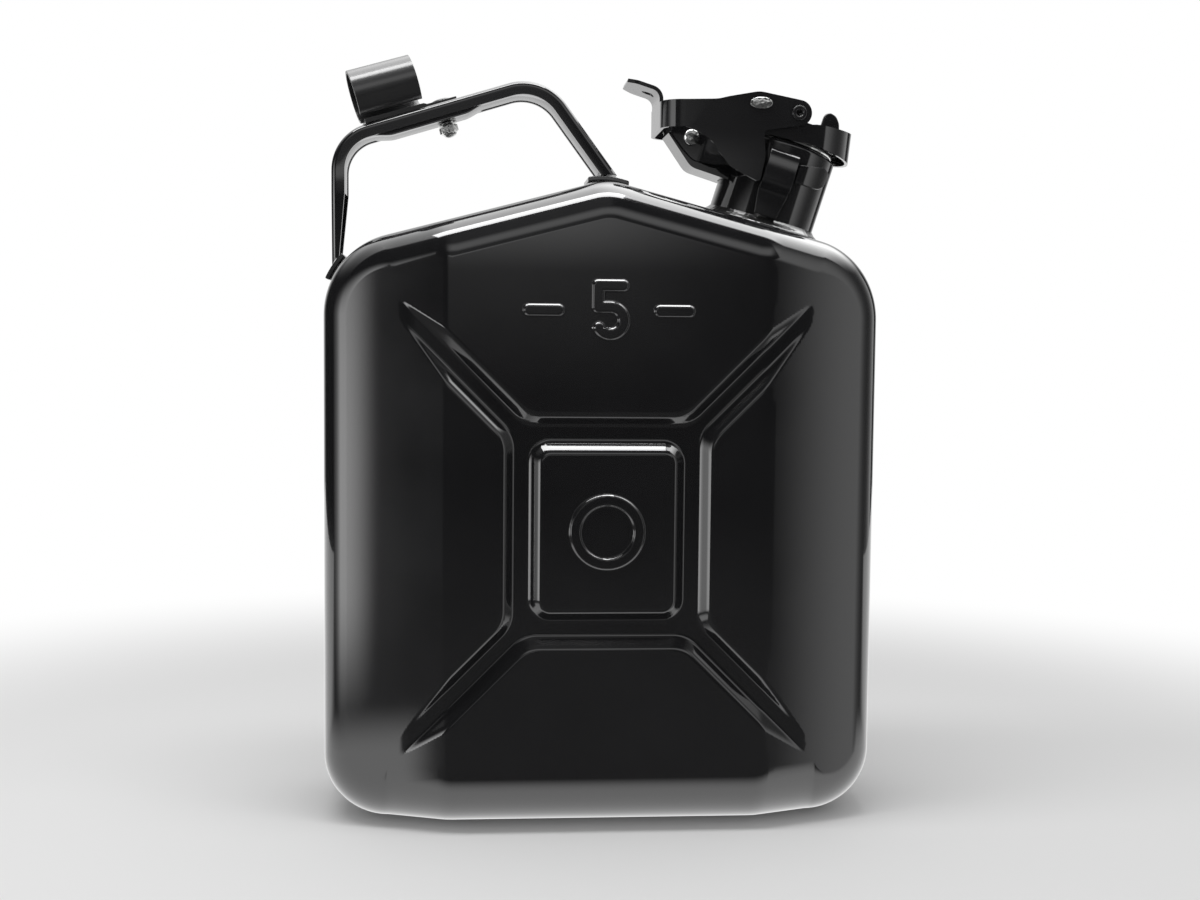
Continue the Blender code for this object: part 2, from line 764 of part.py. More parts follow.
def neck_weld(parent):
    """The weld fillet that follows the roof round the foot of the neck."""
    inner = NECK_RADIUS + FIT
    section = ((0.0, 0.0), (1.0, 0.0), (0.75, 0.32), (0.28, 0.62), (0.0, 1.0))
    rings = []
    for i in range(ROUND_STEPS):
        angle = 2 * math.pi * i / ROUND_STEPS
        ring = []
        for out_share, up_share in section:
            radius = inner + WELD_RING_REACH * out_share
            u, y = radius * math.cos(angle), radius * math.sin(angle)
            height = roof_under_neck(u, y) + FIT + WELD_RING_REACH * up_share
            ring.append((u, y, height))
        rings.append(ring)
    verts, faces = loft(rings, closed_path=True)
    return finish_mesh("neck_weld", verts, faces, weld_bead, parent)


def mouth_ring(parent):
    low = NECK_TOP + FIT
    high = low + RING_HEIGHT
    profile = [
        (NECK_LIP_RADIUS, low),
        (RING_RADIUS, low),
        (RING_RADIUS, high - RING_ROUND),
        (RING_RADIUS - RING_ROUND, high),
        (NECK_LIP_RADIUS + RING_ROUND, high),
        (NECK_LIP_RADIUS, high - RING_ROUND),
    ]
    return turned("mouth_ring", profile, black_paint, parent)


def vent_tube(parent):
    """The breather, down the inboard wall of the neck and bent towards the roof's peak."""
    u = -(NECK_RADIUS - NECK_WALL - FIT - VENT_RADIUS)
    path = [(u, VENT_TOP), (u, -VENT_DROP)]
    centre = (u - VENT_BEND, -VENT_DROP)
    path += arc(centre, VENT_BEND, 0.0, -math.pi / 3, CHANNEL_STEPS)[1:]
    last = path[-1]
    heading = (-math.cos(math.pi / 6), -math.sin(math.pi / 6))
    path.append((last[0] + heading[0] * VENT_REACH, last[1] + heading[1] * VENT_REACH))
    rings = []
    for radius in (VENT_RADIUS, VENT_RADIUS - VENT_WALL):
        for i, (x, z) in enumerate(path):
            before = Vector(path[max(i - 1, 0)])
            after = Vector(path[min(i + 1, len(path) - 1)])
            along = (after - before).normalized()
            across = Vector((along.y, -along.x))
            ring = []
            for k in range(PIN_STEPS // 2):
                angle = 4 * math.pi * k / PIN_STEPS
                side = across * (radius * math.cos(angle))
                ring.append((x + side.x, radius * math.sin(angle), z + side.y))
            rings.append(ring)
    half = len(rings) // 2
    ordered = rings[:half] + list(reversed(rings[half:]))
    verts, faces = loft(ordered, closed_path=True)
    return finish_mesh("vent_tube", verts, faces, black_paint, parent)


def hook_strap(name, side, parent):
    """A latch strap: flat on the neck, then stepped out and rolled back in over its pocket."""
    inner = NECK_RADIUS + FIT
    out = inner + HOOK_STEP_OUT
    roll = HOOK_TOP - HOOK_BEND
    course = [
        (inner, HOOK_FOOT, HOOK_FOOT_HALF),
        (inner, HOOK_STEP_LOW, HOOK_HALF),
        (out, HOOK_STEP_HIGH, HOOK_HALF),
        (out, HOOK_BEND, HOOK_HALF),
    ]
    for share in (0.35, 0.7, 0.95):
        turn = share * math.pi / 2
        drop = HOOK_STEP_OUT * (1 - math.cos(turn))
        course.append((out - drop, HOOK_BEND + roll * math.sin(turn), HOOK_HALF))
    rings = []
    for i, (y, h, half) in enumerate(course):
        before = course[max(i - 1, 0)]
        after = course[min(i + 1, len(course) - 1)]
        along = Vector((after[0] - before[0], after[1] - before[1])).normalized()
        outward = Vector((along.y, -along.x)) * HOOK_SHEET
        ring = [
            (HOOK_U - half, side * y, h),
            (HOOK_U + half, side * y, h),
            (HOOK_U + half, side * (y + outward.x), h + outward.y),
            (HOOK_U - half, side * (y + outward.x), h + outward.y),
        ]
        rings.append(ring)
    verts, faces = loft(rings)
    return finish_mesh(name, verts, faces, black_paint, parent)


def hook_wing(name, side, parent):
    """The leaf that braces a strap and hugs the neck towards the outboard side."""
    inner = NECK_RADIUS + FIT
    start = math.asin((HOOK_U + HOOK_HALF + FIT + HOOK_SHEET / 2) / inner)
    shares = (
        (0.0, 0.0, 0.71), (0.25, 0.0, 0.82), (0.5, 0.08, 0.92), (0.74, 0.28, 1.0),
        (0.9, 0.5, 1.0), (1.0, 0.7, 0.88),
    )
    rings = []
    for along_share, low_share, high_share in shares:
        angle = start + WING_LENGTH * along_share
        low = WING_FOOT + WING_HEIGHT * low_share
        high = WING_FOOT + WING_HEIGHT * high_share
        ring = []
        for radius, h in (
            (inner, low), (inner, high), (inner + HOOK_SHEET, high), (inner + HOOK_SHEET, low)
        ):
            ring.append((radius * math.sin(angle), side * radius * math.cos(angle), h))
        rings.append(ring)
    verts, faces = loft(rings)
    return finish_mesh(name, verts, faces, black_paint, parent)


# Hinge

def hinge_bracket(parent):
    """A folded channel: its floor runs from the neck to a raised tip, its flanges hold the pin."""
    half = BRACKET_HALF - BRACKET_SHEET / 2
    lift = BRACKET_SHEET / 2
    root_u = -NECK_RADIUS * 0.8
    floor = [
        (root_u, BRACKET_FLOOR + lift),
        (BRACKET_KNEE_U, BRACKET_FLOOR + lift),
        (BRACKET_TIP_U, BRACKET_TIP_H + lift),
    ]
    ear = BRACKET_SHEET + PIN_HEAD_RADIUS + HOOK_SHEET
    rise = [
        (HINGE_U - ear * 0.95, HINGE_H + ear * 0.55),
        (HINGE_U - ear * 0.45, HINGE_H + ear * 0.95),
        (HINGE_U + ear * 0.3, HINGE_H + ear),
        (HINGE_U + ear * 0.9, HINGE_H + ear * 0.6),
        (HINGE_U + ear * 1.5, HINGE_H - ear * 0.1),
        (root_u, HINGE_H - ear * 0.1),
    ]
    verts = []
    for y in (-half, half):
        verts += [(u, y, h) for u, h in floor]
    for y in (-half, half):
        verts += [(u, y, h) for u, h in rise]
    count = len(floor)
    base = 2 * count
    faces = [(i, i + 1, count + i + 1, count + i) for i in range(count - 1)]
    faces.append(tuple(range(count)) + tuple(range(base, base + len(rise))))
    second = base + len(rise)
    faces.append(tuple(range(count, base)) + tuple(range(second, second + len(rise))))
    piece = finish_mesh("hinge_bracket", verts, faces, black_paint, parent)
    sheet = piece.modifiers.new("sheet", "SOLIDIFY")
    sheet.thickness = BRACKET_SHEET
    sheet.offset = 0.0
    sheet.use_even_offset = True
    boolean(piece, cutter(
        "bracket_neck_cut",
        upright_rod(NECK_RADIUS + FIT, 0.0, NECK_TOP), parent,
    ))
    reach = BRACKET_HALF + OVERRUN
    boolean(piece, cutter(
        "bracket_pin_cut", solid_rod(PIN_RADIUS + FIT, -reach, reach, HINGE), parent
    ))
    return piece


def hinge_pin(parent):
    face = TAIL_HALF + LID_SHEET / 2 + FIT
    tip = face + PIN_HEAD
    rings = []
    course = (
        (PIN_HEAD_RADIUS * 0.7, -tip), (PIN_HEAD_RADIUS, -tip + PIN_HEAD / 2),
        (PIN_HEAD_RADIUS, -face), (PIN_RADIUS, -face), (PIN_RADIUS, face),
        (PIN_HEAD_RADIUS, face), (PIN_HEAD_RADIUS, tip - PIN_HEAD / 2),
        (PIN_HEAD_RADIUS * 0.7, tip),
    )
    for radius, y in course:
        rings.append([
            (
                HINGE_U + radius * math.cos(2 * math.pi * i / PIN_STEPS),
                y,
                HINGE_H + radius * math.sin(2 * math.pi * i / PIN_STEPS),
            )
            for i in range(PIN_STEPS)
        ])
    verts, faces = loft(rings)
    return finish_mesh("hinge_pin", verts, faces, zinc, parent, HINGE)


# Lid

def lid_course():
    """Half of the lid's skirt: (u, y, bottom, top, inward lean) from the tail to the nose."""
    reach = LID_NOSE_U + LID_HALF
    web_top = LID_WEB + LID_SHEET
    ear = PIN_HEAD_RADIUS + OVERRUN + LID_SHEET
    pivot_ear = LEVER_LOBE - FIT
    tail_u = HINGE_U + ear
    wide_u = -(NECK_RADIUS - FIT)
    strap_left = HOOK_U - HOOK_HALF
    skirt = NECK_TOP
    course = [
        (HINGE_U - ear * 1.33, TAIL_HALF, HINGE_H - ear * 0.08, HINGE_H + ear * 0.22),
        (HINGE_U - ear * 0.85, TAIL_HALF, HINGE_H - ear * 0.42, HINGE_H + ear * 0.7),
        (HINGE_U - ear * 0.3, TAIL_HALF, HINGE_H - ear * 0.82, HINGE_H + ear),
        (HINGE_U + ear * 0.53, TAIL_HALF, HINGE_H - ear * 1.27, HINGE_H + ear * 1.12),
        (tail_u, TAIL_HALF, HINGE_H - ear * 1.25, HINGE_H + ear * 1.5),
        (
            (tail_u + wide_u) / 2, (TAIL_HALF + LID_HALF) / 2, HINGE_H - ear * 1.2,
            LID_WEB - FIT,
        ),
        (wide_u, LID_HALF, HINGE_H - ear, web_top),
        ((wide_u + strap_left) / 2 - OVERRUN / 2, LID_HALF, HINGE_H + ear * 0.2, web_top),
        (strap_left - OVERRUN * 2, LID_HALF, skirt - FIT, web_top),
        (PIVOT_U - pivot_ear, LID_HALF, skirt, web_top + FIT),
        (PIVOT_U - pivot_ear * 0.66, LID_HALF, skirt + FIT, PIVOT_H + pivot_ear * 0.7),
        (PIVOT_U, LID_HALF, skirt + FIT, PIVOT_H + pivot_ear),
        (PIVOT_U + pivot_ear * 0.66, LID_HALF, skirt + FIT * 2, PIVOT_H + pivot_ear * 0.7),
        (PIVOT_U + pivot_ear, LID_HALF, skirt + FIT * 3, web_top + FIT),
    ]
    course = [station + (0.0,) for station in course]
    for i in range(NOSE_STEPS + 1):
        angle = math.pi / 2 * (1 - i / NOSE_STEPS)
        share = i / NOSE_STEPS
        u = LID_NOSE_U + LID_HALF * math.cos(angle)
        top = web_top + FIT + (reach - LID_NOSE_U) * 0.24 * share ** 0.7
        lean = LID_NOSE_DRAFT * math.cos(angle)
        course.append((u, LID_HALF * math.sin(angle), skirt + LID_SHEET, top, lean))
    return course


def lid_bridge(parent):
    """The pressed lid: a skirt that runs from the hinge round the mouth, and a web over it."""
    half = lid_course()
    full = [(u, -y, low, top, lean) for u, y, low, top, lean in half]
    full += list(reversed(half[:-1]))
    rings = []
    plan = [(FIT - NECK_RADIUS, -LID_HALF)]
    for i, (u, y, low, top, lean) in enumerate(full):
        before = Vector(full[max(i - 1, 0)][:2])
        here = Vector((u, y))
        after = Vector(full[min(i + 1, len(full) - 1)][:2])
        into = (here - before).normalized() if i else (after - here).normalized()
        out_of = (after - here).normalized() if i < len(full) - 1 else into
        along = (into + out_of).normalized()
        stretch = 1.0 / max(along.dot(into), SQRT_HALF)
        side = Vector((along.y, -along.x)) * (LID_SHEET / 2 * stretch)
        inward = Vector((u - LID_NOSE_U, y)).normalized() * lean
        rings.append([
            (u + side.x, y + side.y, low), (u + side.x - inward.x, y + side.y - inward.y, top),
            (u - side.x - inward.x, y - side.y - inward.y, top), (u - side.x, y - side.y, low),
        ])
        if u > LID_NOSE_U - FIT:
            rise_share = (LID_WEB + LID_SHEET / 2 - low) / (top - low)
            plan.append((u - inward.x * rise_share, y - inward.y * rise_share))
    plan.append((FIT - NECK_RADIUS, LID_HALF))
    verts, faces = loft(rings)
    piece = finish_mesh("lid_bridge", verts, faces, black_paint, parent, HINGE)
    web = [[(u, y, h) for u, y in plan] for h in (LID_WEB, LID_WEB + LID_SHEET)]
    boolean(piece, cutter("lid_web", loft(web), parent), "UNION")
    reach = LID_HALF + LID_SHEET + OVERRUN
    boolean(piece, cutter(
        "lid_pin_cut", solid_rod(PIN_RADIUS + FIT, -reach, reach, HINGE), parent
    ))
    boolean(piece, cutter(
        "lid_pivot_cut", solid_rod(PIVOT_SHANK + FIT, -reach, reach, PIVOT), parent
    ))
    boolean(piece, cutter(
        "lid_rivet_cut",
        upright_rod(RIVET_RADIUS + FIT, LID_WEB - OVERRUN, LID_WEB + LID_SHEET + OVERRUN,
                    PIN_STEPS),
        parent,
    ))
    return piece


def lid_disc(parent):
    """The shallow cup that holds the gasket."""
    outer = LID_HALF - LID_SHEET / 2 - FIT
    top = LID_WEB - FIT
    under = top - DISC_SHEET
    profile = [
        (RIVET_RADIUS + FIT, under), (outer - DISC_SHEET, under),
        (outer - DISC_SHEET, under - DISC_RIM), (outer, under - DISC_RIM), (outer, top),
        (RIVET_RADIUS + FIT, top),
    ]
    return turned("lid_disc", profile, zinc, parent, HINGE)


def lid_gasket(parent):
    outer = LID_HALF - LID_SHEET / 2 - FIT - DISC_SHEET - GASKET_INSET
    top = LID_WEB - FIT - DISC_SHEET - FIT
    low = NECK_TOP + FIT + RING_HEIGHT + FIT
    profile = [(GASKET_BORE, low), (outer, low), (outer, top), (GASKET_BORE, top)]
    return turned("lid_gasket", profile, rubber, parent, HINGE)


def lid_rivet(parent):
    """The rivet that clamps the cup under the web."""
    seat = LID_WEB + LID_SHEET + FIT
    tail = LID_WEB - FIT - DISC_SHEET - FIT
    course = (
        (RIVET_TAIL_RADIUS * 0.6, tail - RIVET_TAIL), (RIVET_TAIL_RADIUS, tail - RIVET_TAIL / 2),
        (RIVET_TAIL_RADIUS, tail), (RIVET_RADIUS, tail), (RIVET_RADIUS, seat),
        (RIVET_HEAD_RADIUS, seat), (RIVET_HEAD_RADIUS * 0.9, seat + RIVET_HEAD * 0.45),
        (RIVET_HEAD_RADIUS * 0.55, seat + RIVET_HEAD * 0.9), (RIVET_RADIUS / 2, seat + RIVET_HEAD),
    )
    steps = PIN_STEPS + PIN_STEPS // 4
    rings = []
    for radius, h in course:
        rings.append([
            (radius * math.cos(2 * math.pi * i / steps), radius * math.sin(2 * math.pi * i / steps), h)
            for i in range(steps)
        ])
    verts, faces = loft(rings)
    return finish_mesh("lid_rivet", verts, faces, zinc, parent, HINGE)


def lid_lug(parent):
    """The upright lug on the lid, square inboard and rounded outboard."""
    seat = LID_WEB + LID_SHEET + FIT
    shares = (
        (0.0, 0.0), (1.0, 0.0), (1.0, 0.42), (0.86, 0.72), (0.6, 0.94), (0.3, 1.0), (0.08, 0.92),
        (0.0, 0.78),
    )
    outline = [(LUG_U + LUG_LENGTH * a, seat + LUG_HEIGHT * b) for a, b in shares]
    verts, faces = prism(outline, -LUG_HALF, LUG_HALF)
    return finish_mesh("lid_lug", verts, faces, black_paint, parent, HINGE)


# Lever. Its plates are drawn level, as the closed lever stands, about its pivot.

def lever_plate_outline():
    """One side plate about the pivot: (forward, up), starting low beside the cross wall."""
    bend_end = -(LEVER_REACH - LEVER_BEND)
    top = LEVER_LIFT * 0.55
    low = -LEVER_DROP * 0.22
    shares = (
        (-0.768, -0.258), (-0.70, -0.35), (-0.648, -0.41), (-0.512, -0.773), (-0.286, -1.0),
        (-0.245, -0.62), (-0.26, -0.30), (-0.235, -0.248),
    )
    outline = [(bend_end, low)]
    outline += [(LEVER_REACH * a, LEVER_DROP * b) for a, b in shares]
    outline += arc((0.0, 0.0), LEVER_LOBE * 1.08, -math.pi * 0.42, math.pi * 0.42, 6)
    outline += [(-LEVER_REACH * 0.296, LEVER_LIFT), (-LEVER_REACH * 0.53, LEVER_LIFT * 0.72)]
    outline += [(-LEVER_REACH * 0.6, LEVER_LIFT * 0.6), (bend_end, top)]
    return outline


def lever(parent):
    """Two side plates joined by a cross wall, whose top is bent over into the finger tab."""
    outline = lever_plate_outline()
    low = outline[0][1]
    top = outline[-1][1]
    verts = []
    faces = []
    columns = []

    def column(x, y):
        first = len(verts)
        verts.append((x, y, low))
        verts.append((x, y, top))
        columns.append((first, first + 1))

    bend_x = -(LEVER_REACH - LEVER_BEND)
    bend_y = LEVER_HALF - LEVER_BEND
    for x, y in arc((bend_x, -bend_y), LEVER_BEND, -math.pi / 2, -math.pi, LEVER_BEND_STEPS):
        column(x, y)
    column(-LEVER_REACH, -TAB_HALF)
    column(-LEVER_REACH, TAB_HALF)
    for x, y in arc((bend_x, bend_y), LEVER_BEND, math.pi, math.pi / 2, LEVER_BEND_STEPS):
        column(x, y)
    for a, b in zip(columns, columns[1:]):
        faces.append((a[0], b[0], b[1], a[1]))
    for index, y in ((0, -LEVER_HALF), (-1, LEVER_HALF)):
        start = len(verts)
        verts += [(x, y, z) for x, z in outline[1:-1]]
        inner = list(range(start, len(verts)))
        faces.append(tuple([columns[index][0]] + inner + [columns[index][1]]))
    tab_left = columns[LEVER_BEND_STEPS + 1][1]
    tab_right = columns[LEVER_BEND_STEPS + 2][1]
    row = (tab_left, tab_right)
    turn = math.pi / 2 - TAB_SLOPE
    centre = (-LEVER_REACH - TAB_BEND, top + TAB_RISE)
    course = [(p[0], p[1], TAB_HALF) for p in arc(centre, TAB_BEND, 0.0, turn, 3)]
    reach = TAB_LENGTH - TAB_BEND - TAB_CHAMFER
    heading = (-math.cos(TAB_SLOPE), math.sin(TAB_SLOPE))
    last = course[-1]
    for extra, half in ((reach, TAB_HALF), (reach + TAB_CHAMFER, TAB_HALF - TAB_CHAMFER)):
        course.append((last[0] + heading[0] * extra, last[1] + heading[1] * extra, half))
    for x, z, half in course:
        start = len(verts)
        verts.append((x, -half, z))
        verts.append((x, half, z))
        faces.append((row[0], row[1], start + 1, start))
        row = (start, start + 1)
    piece = finish_mesh("lever", verts, faces, black_paint, parent)
    sheet = piece.modifiers.new("sheet", "SOLIDIFY")
    sheet.thickness = LEVER_SHEET
    sheet.offset = 0.0
    sheet.use_even_offset = True
    reach = LEVER_HALF + LEVER_SHEET + OVERRUN
    boolean(piece, cutter(
        "lever_pivot_cut",
        solid_rod(PIVOT_SHANK + FIT, -reach, reach, (0.0, 0.0, 0.0)), parent,
    ))
    boolean(piece, cutter(
        "lever_stud_cut",
        solid_rod(STUD_SHANK + FIT, -reach, reach, (-STUD_REACH, 0.0, STUD_RISE)), parent,
    ))
    hole = Vector((last[0], 0.0, last[1])) + Vector((heading[0], 0.0, heading[1])) * (reach / 8)
    tab_cut = cutter(
        "lever_tab_cut", upright_rod(TAB_HOLE, -TAB_BEND, TAB_BEND, PIN_STEPS), parent
    )
    tab_cut.location = hole
    boolean(piece, tab_cut)
    return piece


def lever_pivot_rivet(name, side, parent):
    """A hollow rivet through a lever plate and the lid's cheek behind it."""
    inner = LID_HALF - LID_SHEET / 2 - FIT
    face = LEVER_HALF + LEVER_SHEET / 2 + FIT
    profile = (
        (PIVOT_BORE, inner), (PIVOT_SHANK, inner), (PIVOT_SHANK, face), (PIVOT_FLANGE, face),
        (PIVOT_FLANGE, face + PIVOT_FLANGE_SHEET / 2),
        (PIVOT_FLANGE * 0.85, face + PIVOT_FLANGE_SHEET), (PIVOT_BORE, face + PIVOT_FLANGE_SHEET),
    )
    rings = []
    for i in range(PIN_STEPS):
        angle = 2 * math.pi * i / PIN_STEPS
        rings.append([(r * math.cos(angle), side * y, r * math.sin(angle)) for r, y in profile])
    verts, faces = loft(rings, closed_path=True)
    return finish_mesh(name, verts, faces, black_paint, parent)


def lever_stud(name, side, parent):
    """A bright oval-headed stud in a lever plate."""
    root = LEVER_HALF - LEVER_SHEET / 2 + FIT
    face = LEVER_HALF + LEVER_SHEET / 2 + FIT
    course = (
        (STUD_SHANK, STUD_SHANK, root), (STUD_SHANK, STUD_SHANK, face),
        (STUD_HALF_LONG, STUD_HALF_SHORT, face),
        (STUD_HALF_LONG * 0.92, STUD_HALF_SHORT * 0.9, face + STUD_HEAD * 0.6),
        (STUD_HALF_LONG * 0.6, STUD_HALF_SHORT * 0.55, face + STUD_HEAD),
    )
    rings = []
    for half_x, half_z, y in course:
        ring = []
        for i in range(PIN_STEPS):
            angle = 2 * math.pi * i / PIN_STEPS
            x = -STUD_REACH + half_x * math.cos(angle)
            ring.append((x, side * y, STUD_RISE + half_z * math.sin(angle)))
        rings.append(ring)
    verts, faces = loft(rings)
    return finish_mesh(name, verts, faces, zinc, parent)


# Handle

def handle_course():
    """Stations along the channel's top edge: (point, outward normal, share of full size)."""
    leg_bottom = SHOULDER_Z + LEG_ROUND * math.sin(HANDLE_LEG_PLACE)
    corner = Vector((HANDLE_LEG_X, HANDLE_CORNER_Z))
    crest = Vector((HANDLE_CREST_X, HANDLE_CREST_Z))
    foot_z = roof_height(0.0) + PAD_SHEET + 2 * FIT
    foot = Vector((HANDLE_FOOT_X, foot_z))
    start = Vector((HANDLE_LEG_X, leg_bottom))
    stations = [start, Vector((HANDLE_LEG_X, leg_bottom + HANDLE_TAPER))]
    stations += corner_arc(start, corner, crest, HANDLE_LEG_ROUND)
    stations += corner_arc(corner, crest, foot, HANDLE_CREST_ROUND)
    stations.append(foot)
    return stations


def corner_arc(before, corner, after, radius):
    """A fillet of a given radius at a corner."""
    into = (corner - before).normalized()
    out_of = (after - corner).normalized()
    turn = into.angle(out_of)
    tangent = radius * math.tan(turn / 2)
    first = corner - into * tangent
    side = Vector((into.y, -into.x))
    centre = first + side * radius
    points = []
    for i in range(HANDLE_ARC_STEPS + 1):
        angle = turn * i / HANDLE_ARC_STEPS
        points.append(centre - side * (radius * math.cos(angle)) + into * (radius * math.sin(angle)))
    return points


def grip_line():
    """Start and direction of the straight grip, from the left corner to the crest."""
    corner = Vector((HANDLE_LEG_X, HANDLE_CORNER_Z))
    crest = Vector((HANDLE_CREST_X, HANDLE_CREST_Z))
    return corner, (crest - corner).normalized()


def on_grip(along, out, y):
    """A place beside the grip: distance along it, above its top face, and sideways."""
    start, heading = grip_line()
    up = Vector((-heading.y, heading.x))
    place = start + heading * along + up * out
    return (place.x, y, place.y)


def channel_section(width, flange, edge, sheet):
    """A downward channel section: (sideways, outward) points, once round."""
    half = width / 2
    outer = [(-half, -flange)]
    outer += arc((-half + edge, -edge), edge, math.pi, math.pi / 2, 3)
    outer += arc((half - edge, -edge), edge, math.pi / 2, 0.0, 3)
    outer.append((half, -flange))
    inner_edge = edge - sheet
    inner = [(half - sheet, -flange)]
    inner += arc((half - edge, -edge), inner_edge, 0.0, math.pi / 2, 3)
    inner += arc((-half + edge, -edge), inner_edge, math.pi / 2, math.pi, 3)
    inner.append((-half + sheet, -flange))
    return outer + inner


def handle():
    """The pressed channel that arches from the left shoulder to the roof's peak."""
    stations = handle_course()
    rings = []
    last = len(stations) - 1
    pad_rise = (HANDLE_LEG_X + SHOULDER_X) / (stations[0].y - SHOULDER_Z)
    for i, here in enumerate(stations):
        before = stations[max(i - 1, 0)]
        after = stations[min(i + 1, last)]
        along = (after - before).normalized()
        out = Vector((-along.y, along.x))
        narrow = i == 0
        width = HANDLE_FOOT_WIDTH if narrow else HANDLE_WIDTH
        flange = HANDLE_FOOT_FLANGE if narrow else HANDLE_FLANGE
        edge = min(HANDLE_EDGE, flange)
        ring = []
        for y, rise in channel_section(width, flange, edge, HANDLE_SHEET):
            place = here + out * rise
            if i == 0:
                place = place + along * (rise * pad_rise)
            if i == last:
                place = place - along * (rise * out.y / along.y)
            ring.append((place.x, y, place.y))
        rings.append(ring)
    verts, faces = loft(rings)
    piece = finish_mesh("handle", verts, faces, black_paint)
    start = on_grip(BOLT_PLACE, 0.0, 0.0)
    boolean(piece, grip_cutter("handle_bolt_cut", start))
    return piece


def grip_cutter(name, place):
    """A rod square to the grip that drills the bolt's hole."""
    _, heading = grip_line()
    tool = cutter(name, upright_rod(BOLT_RADIUS + FIT, -INSERT_DEPTH * 2, INSERT_DEPTH * 2, PIN_STEPS))
    tool.location = place
    tool.rotation_euler = (0.0, -math.atan2(heading.y, heading.x), 0.0)
    return tool


def handle_foot_left():
    """The pad under the left leg, curved to the shoulder."""
    inner = SHOULDER_RADIUS + FIT
    centre = (-SHOULDER_X, SHOULDER_Z)
    low, high = math.pi - LEFT_PAD_LOW, math.pi - LEFT_PAD_HIGH
    outline = arc(centre, inner, low, high, 4) + arc(centre, inner + PAD_SHEET, high, low, 4)
    verts, faces = prism(outline, -PAD_HALF, PAD_HALF)
    return finish_mesh("handle_foot_left", verts, faces, black_paint)


def handle_foot_right():
    """The pad under the right leg, bent over the roof's peak."""
    start = HANDLE_FOOT_X - HANDLE_FLANGE * 1.5 - RIGHT_PAD_BACK
    end = HANDLE_FOOT_X + RIGHT_PAD_FRONT
    places = [start + (end - start) * i / 8 for i in range(9)]
    low = [(x, roof_height(x) + FIT) for x in places]
    high = [(x, z + PAD_SHEET) for x, z in low]
    verts, faces = prism(low + list(reversed(high)), -HANDLE_WIDTH / 2, HANDLE_WIDTH / 2)
    return finish_mesh("handle_foot_right", verts, faces, black_paint)


def insert_course():
    """Stations along the insert: (point on the channel's top edge, share of the tray's depth)."""
    stations = handle_course()
    left, right = stations[HANDLE_ARC_STEPS + 2], stations[HANDLE_ARC_STEPS + 3]
    heading = (right - left).normalized()
    length = min(INSERT_LENGTH, (right - left).length - 2 * INSERT_LEAD)
    ramp = min(INSERT_END, length / 3)
    shares = ((0.0, 0.0), (0.5, 0.7), (1.0, 1.0))
    course = [(place, 0.0) for place in stations[1:HANDLE_ARC_STEPS + 3]]
    course += [(left + heading * (INSERT_LEAD + ramp * a), b) for a, b in shares]
    course += [(left + heading * (INSERT_LEAD + length - ramp * a), b) for a, b in reversed(shares)]
    course += [(place, 0.0) for place in stations[HANDLE_ARC_STEPS + 3:-1]]
    down = (stations[-1] - stations[-2]).normalized()
    course.append((stations[-1] + down * (INSERT_LIFT / down.y), 0.0))
    return course


def grip_insert():
    """The strip that closes the channel along its arch, with a rounded tray under the fingers."""
    half = HANDLE_WIDTH / 2 - HANDLE_SHEET - FIT
    course = insert_course()
    last = len(course) - 1
    rings = []
    for i, (here, share) in enumerate(course):
        along = (course[min(i + 1, last)][0] - course[max(i - 1, 0)][0]).normalized()
        out = Vector((-along.y, along.x))
        depth = INSERT_DEPTH * share + (HANDLE_EDGE + INSERT_SHEET + FIT) * (1 - share)
        top = -HANDLE_EDGE
        edge = INSERT_SHEET
        lower = [(-half, top)]
        lower += arc((-half + edge, -depth + edge), edge, math.pi, 3 * math.pi / 2, 2)
        lower += arc((half - edge, -depth + edge), edge, -math.pi / 2, 0.0, 2)
        lower.append((half, top))
        inner = half - INSERT_SHEET
        floor = -depth + INSERT_SHEET
        upper = [(inner, top), (inner, floor), (-inner, floor), (-inner, top)]
        ring = []
        for y, rise in lower + upper:
            place = here + out * rise
            if i == last:
                place = place - along * (rise * out.y / along.y)
            ring.append((place.x, y, place.y))
        rings.append(ring)
    verts, faces = loft(rings)
    piece = finish_mesh("grip_insert", verts, faces, black_paint)
    boolean(piece, grip_cutter("insert_bolt_cut", on_grip(BOLT_PLACE, -INSERT_DEPTH, 0.0)))
    return piece


# Spout clip

def on_clip(along, out, y):
    """A place on the clip, which is turned a little about its bolt."""
    offset = along - BOLT_PLACE
    turned_along = BOLT_PLACE + offset * math.cos(CLIP_YAW) - y * math.sin(CLIP_YAW)
    return on_grip(turned_along, out, y * math.cos(CLIP_YAW) + offset * math.sin(CLIP_YAW))


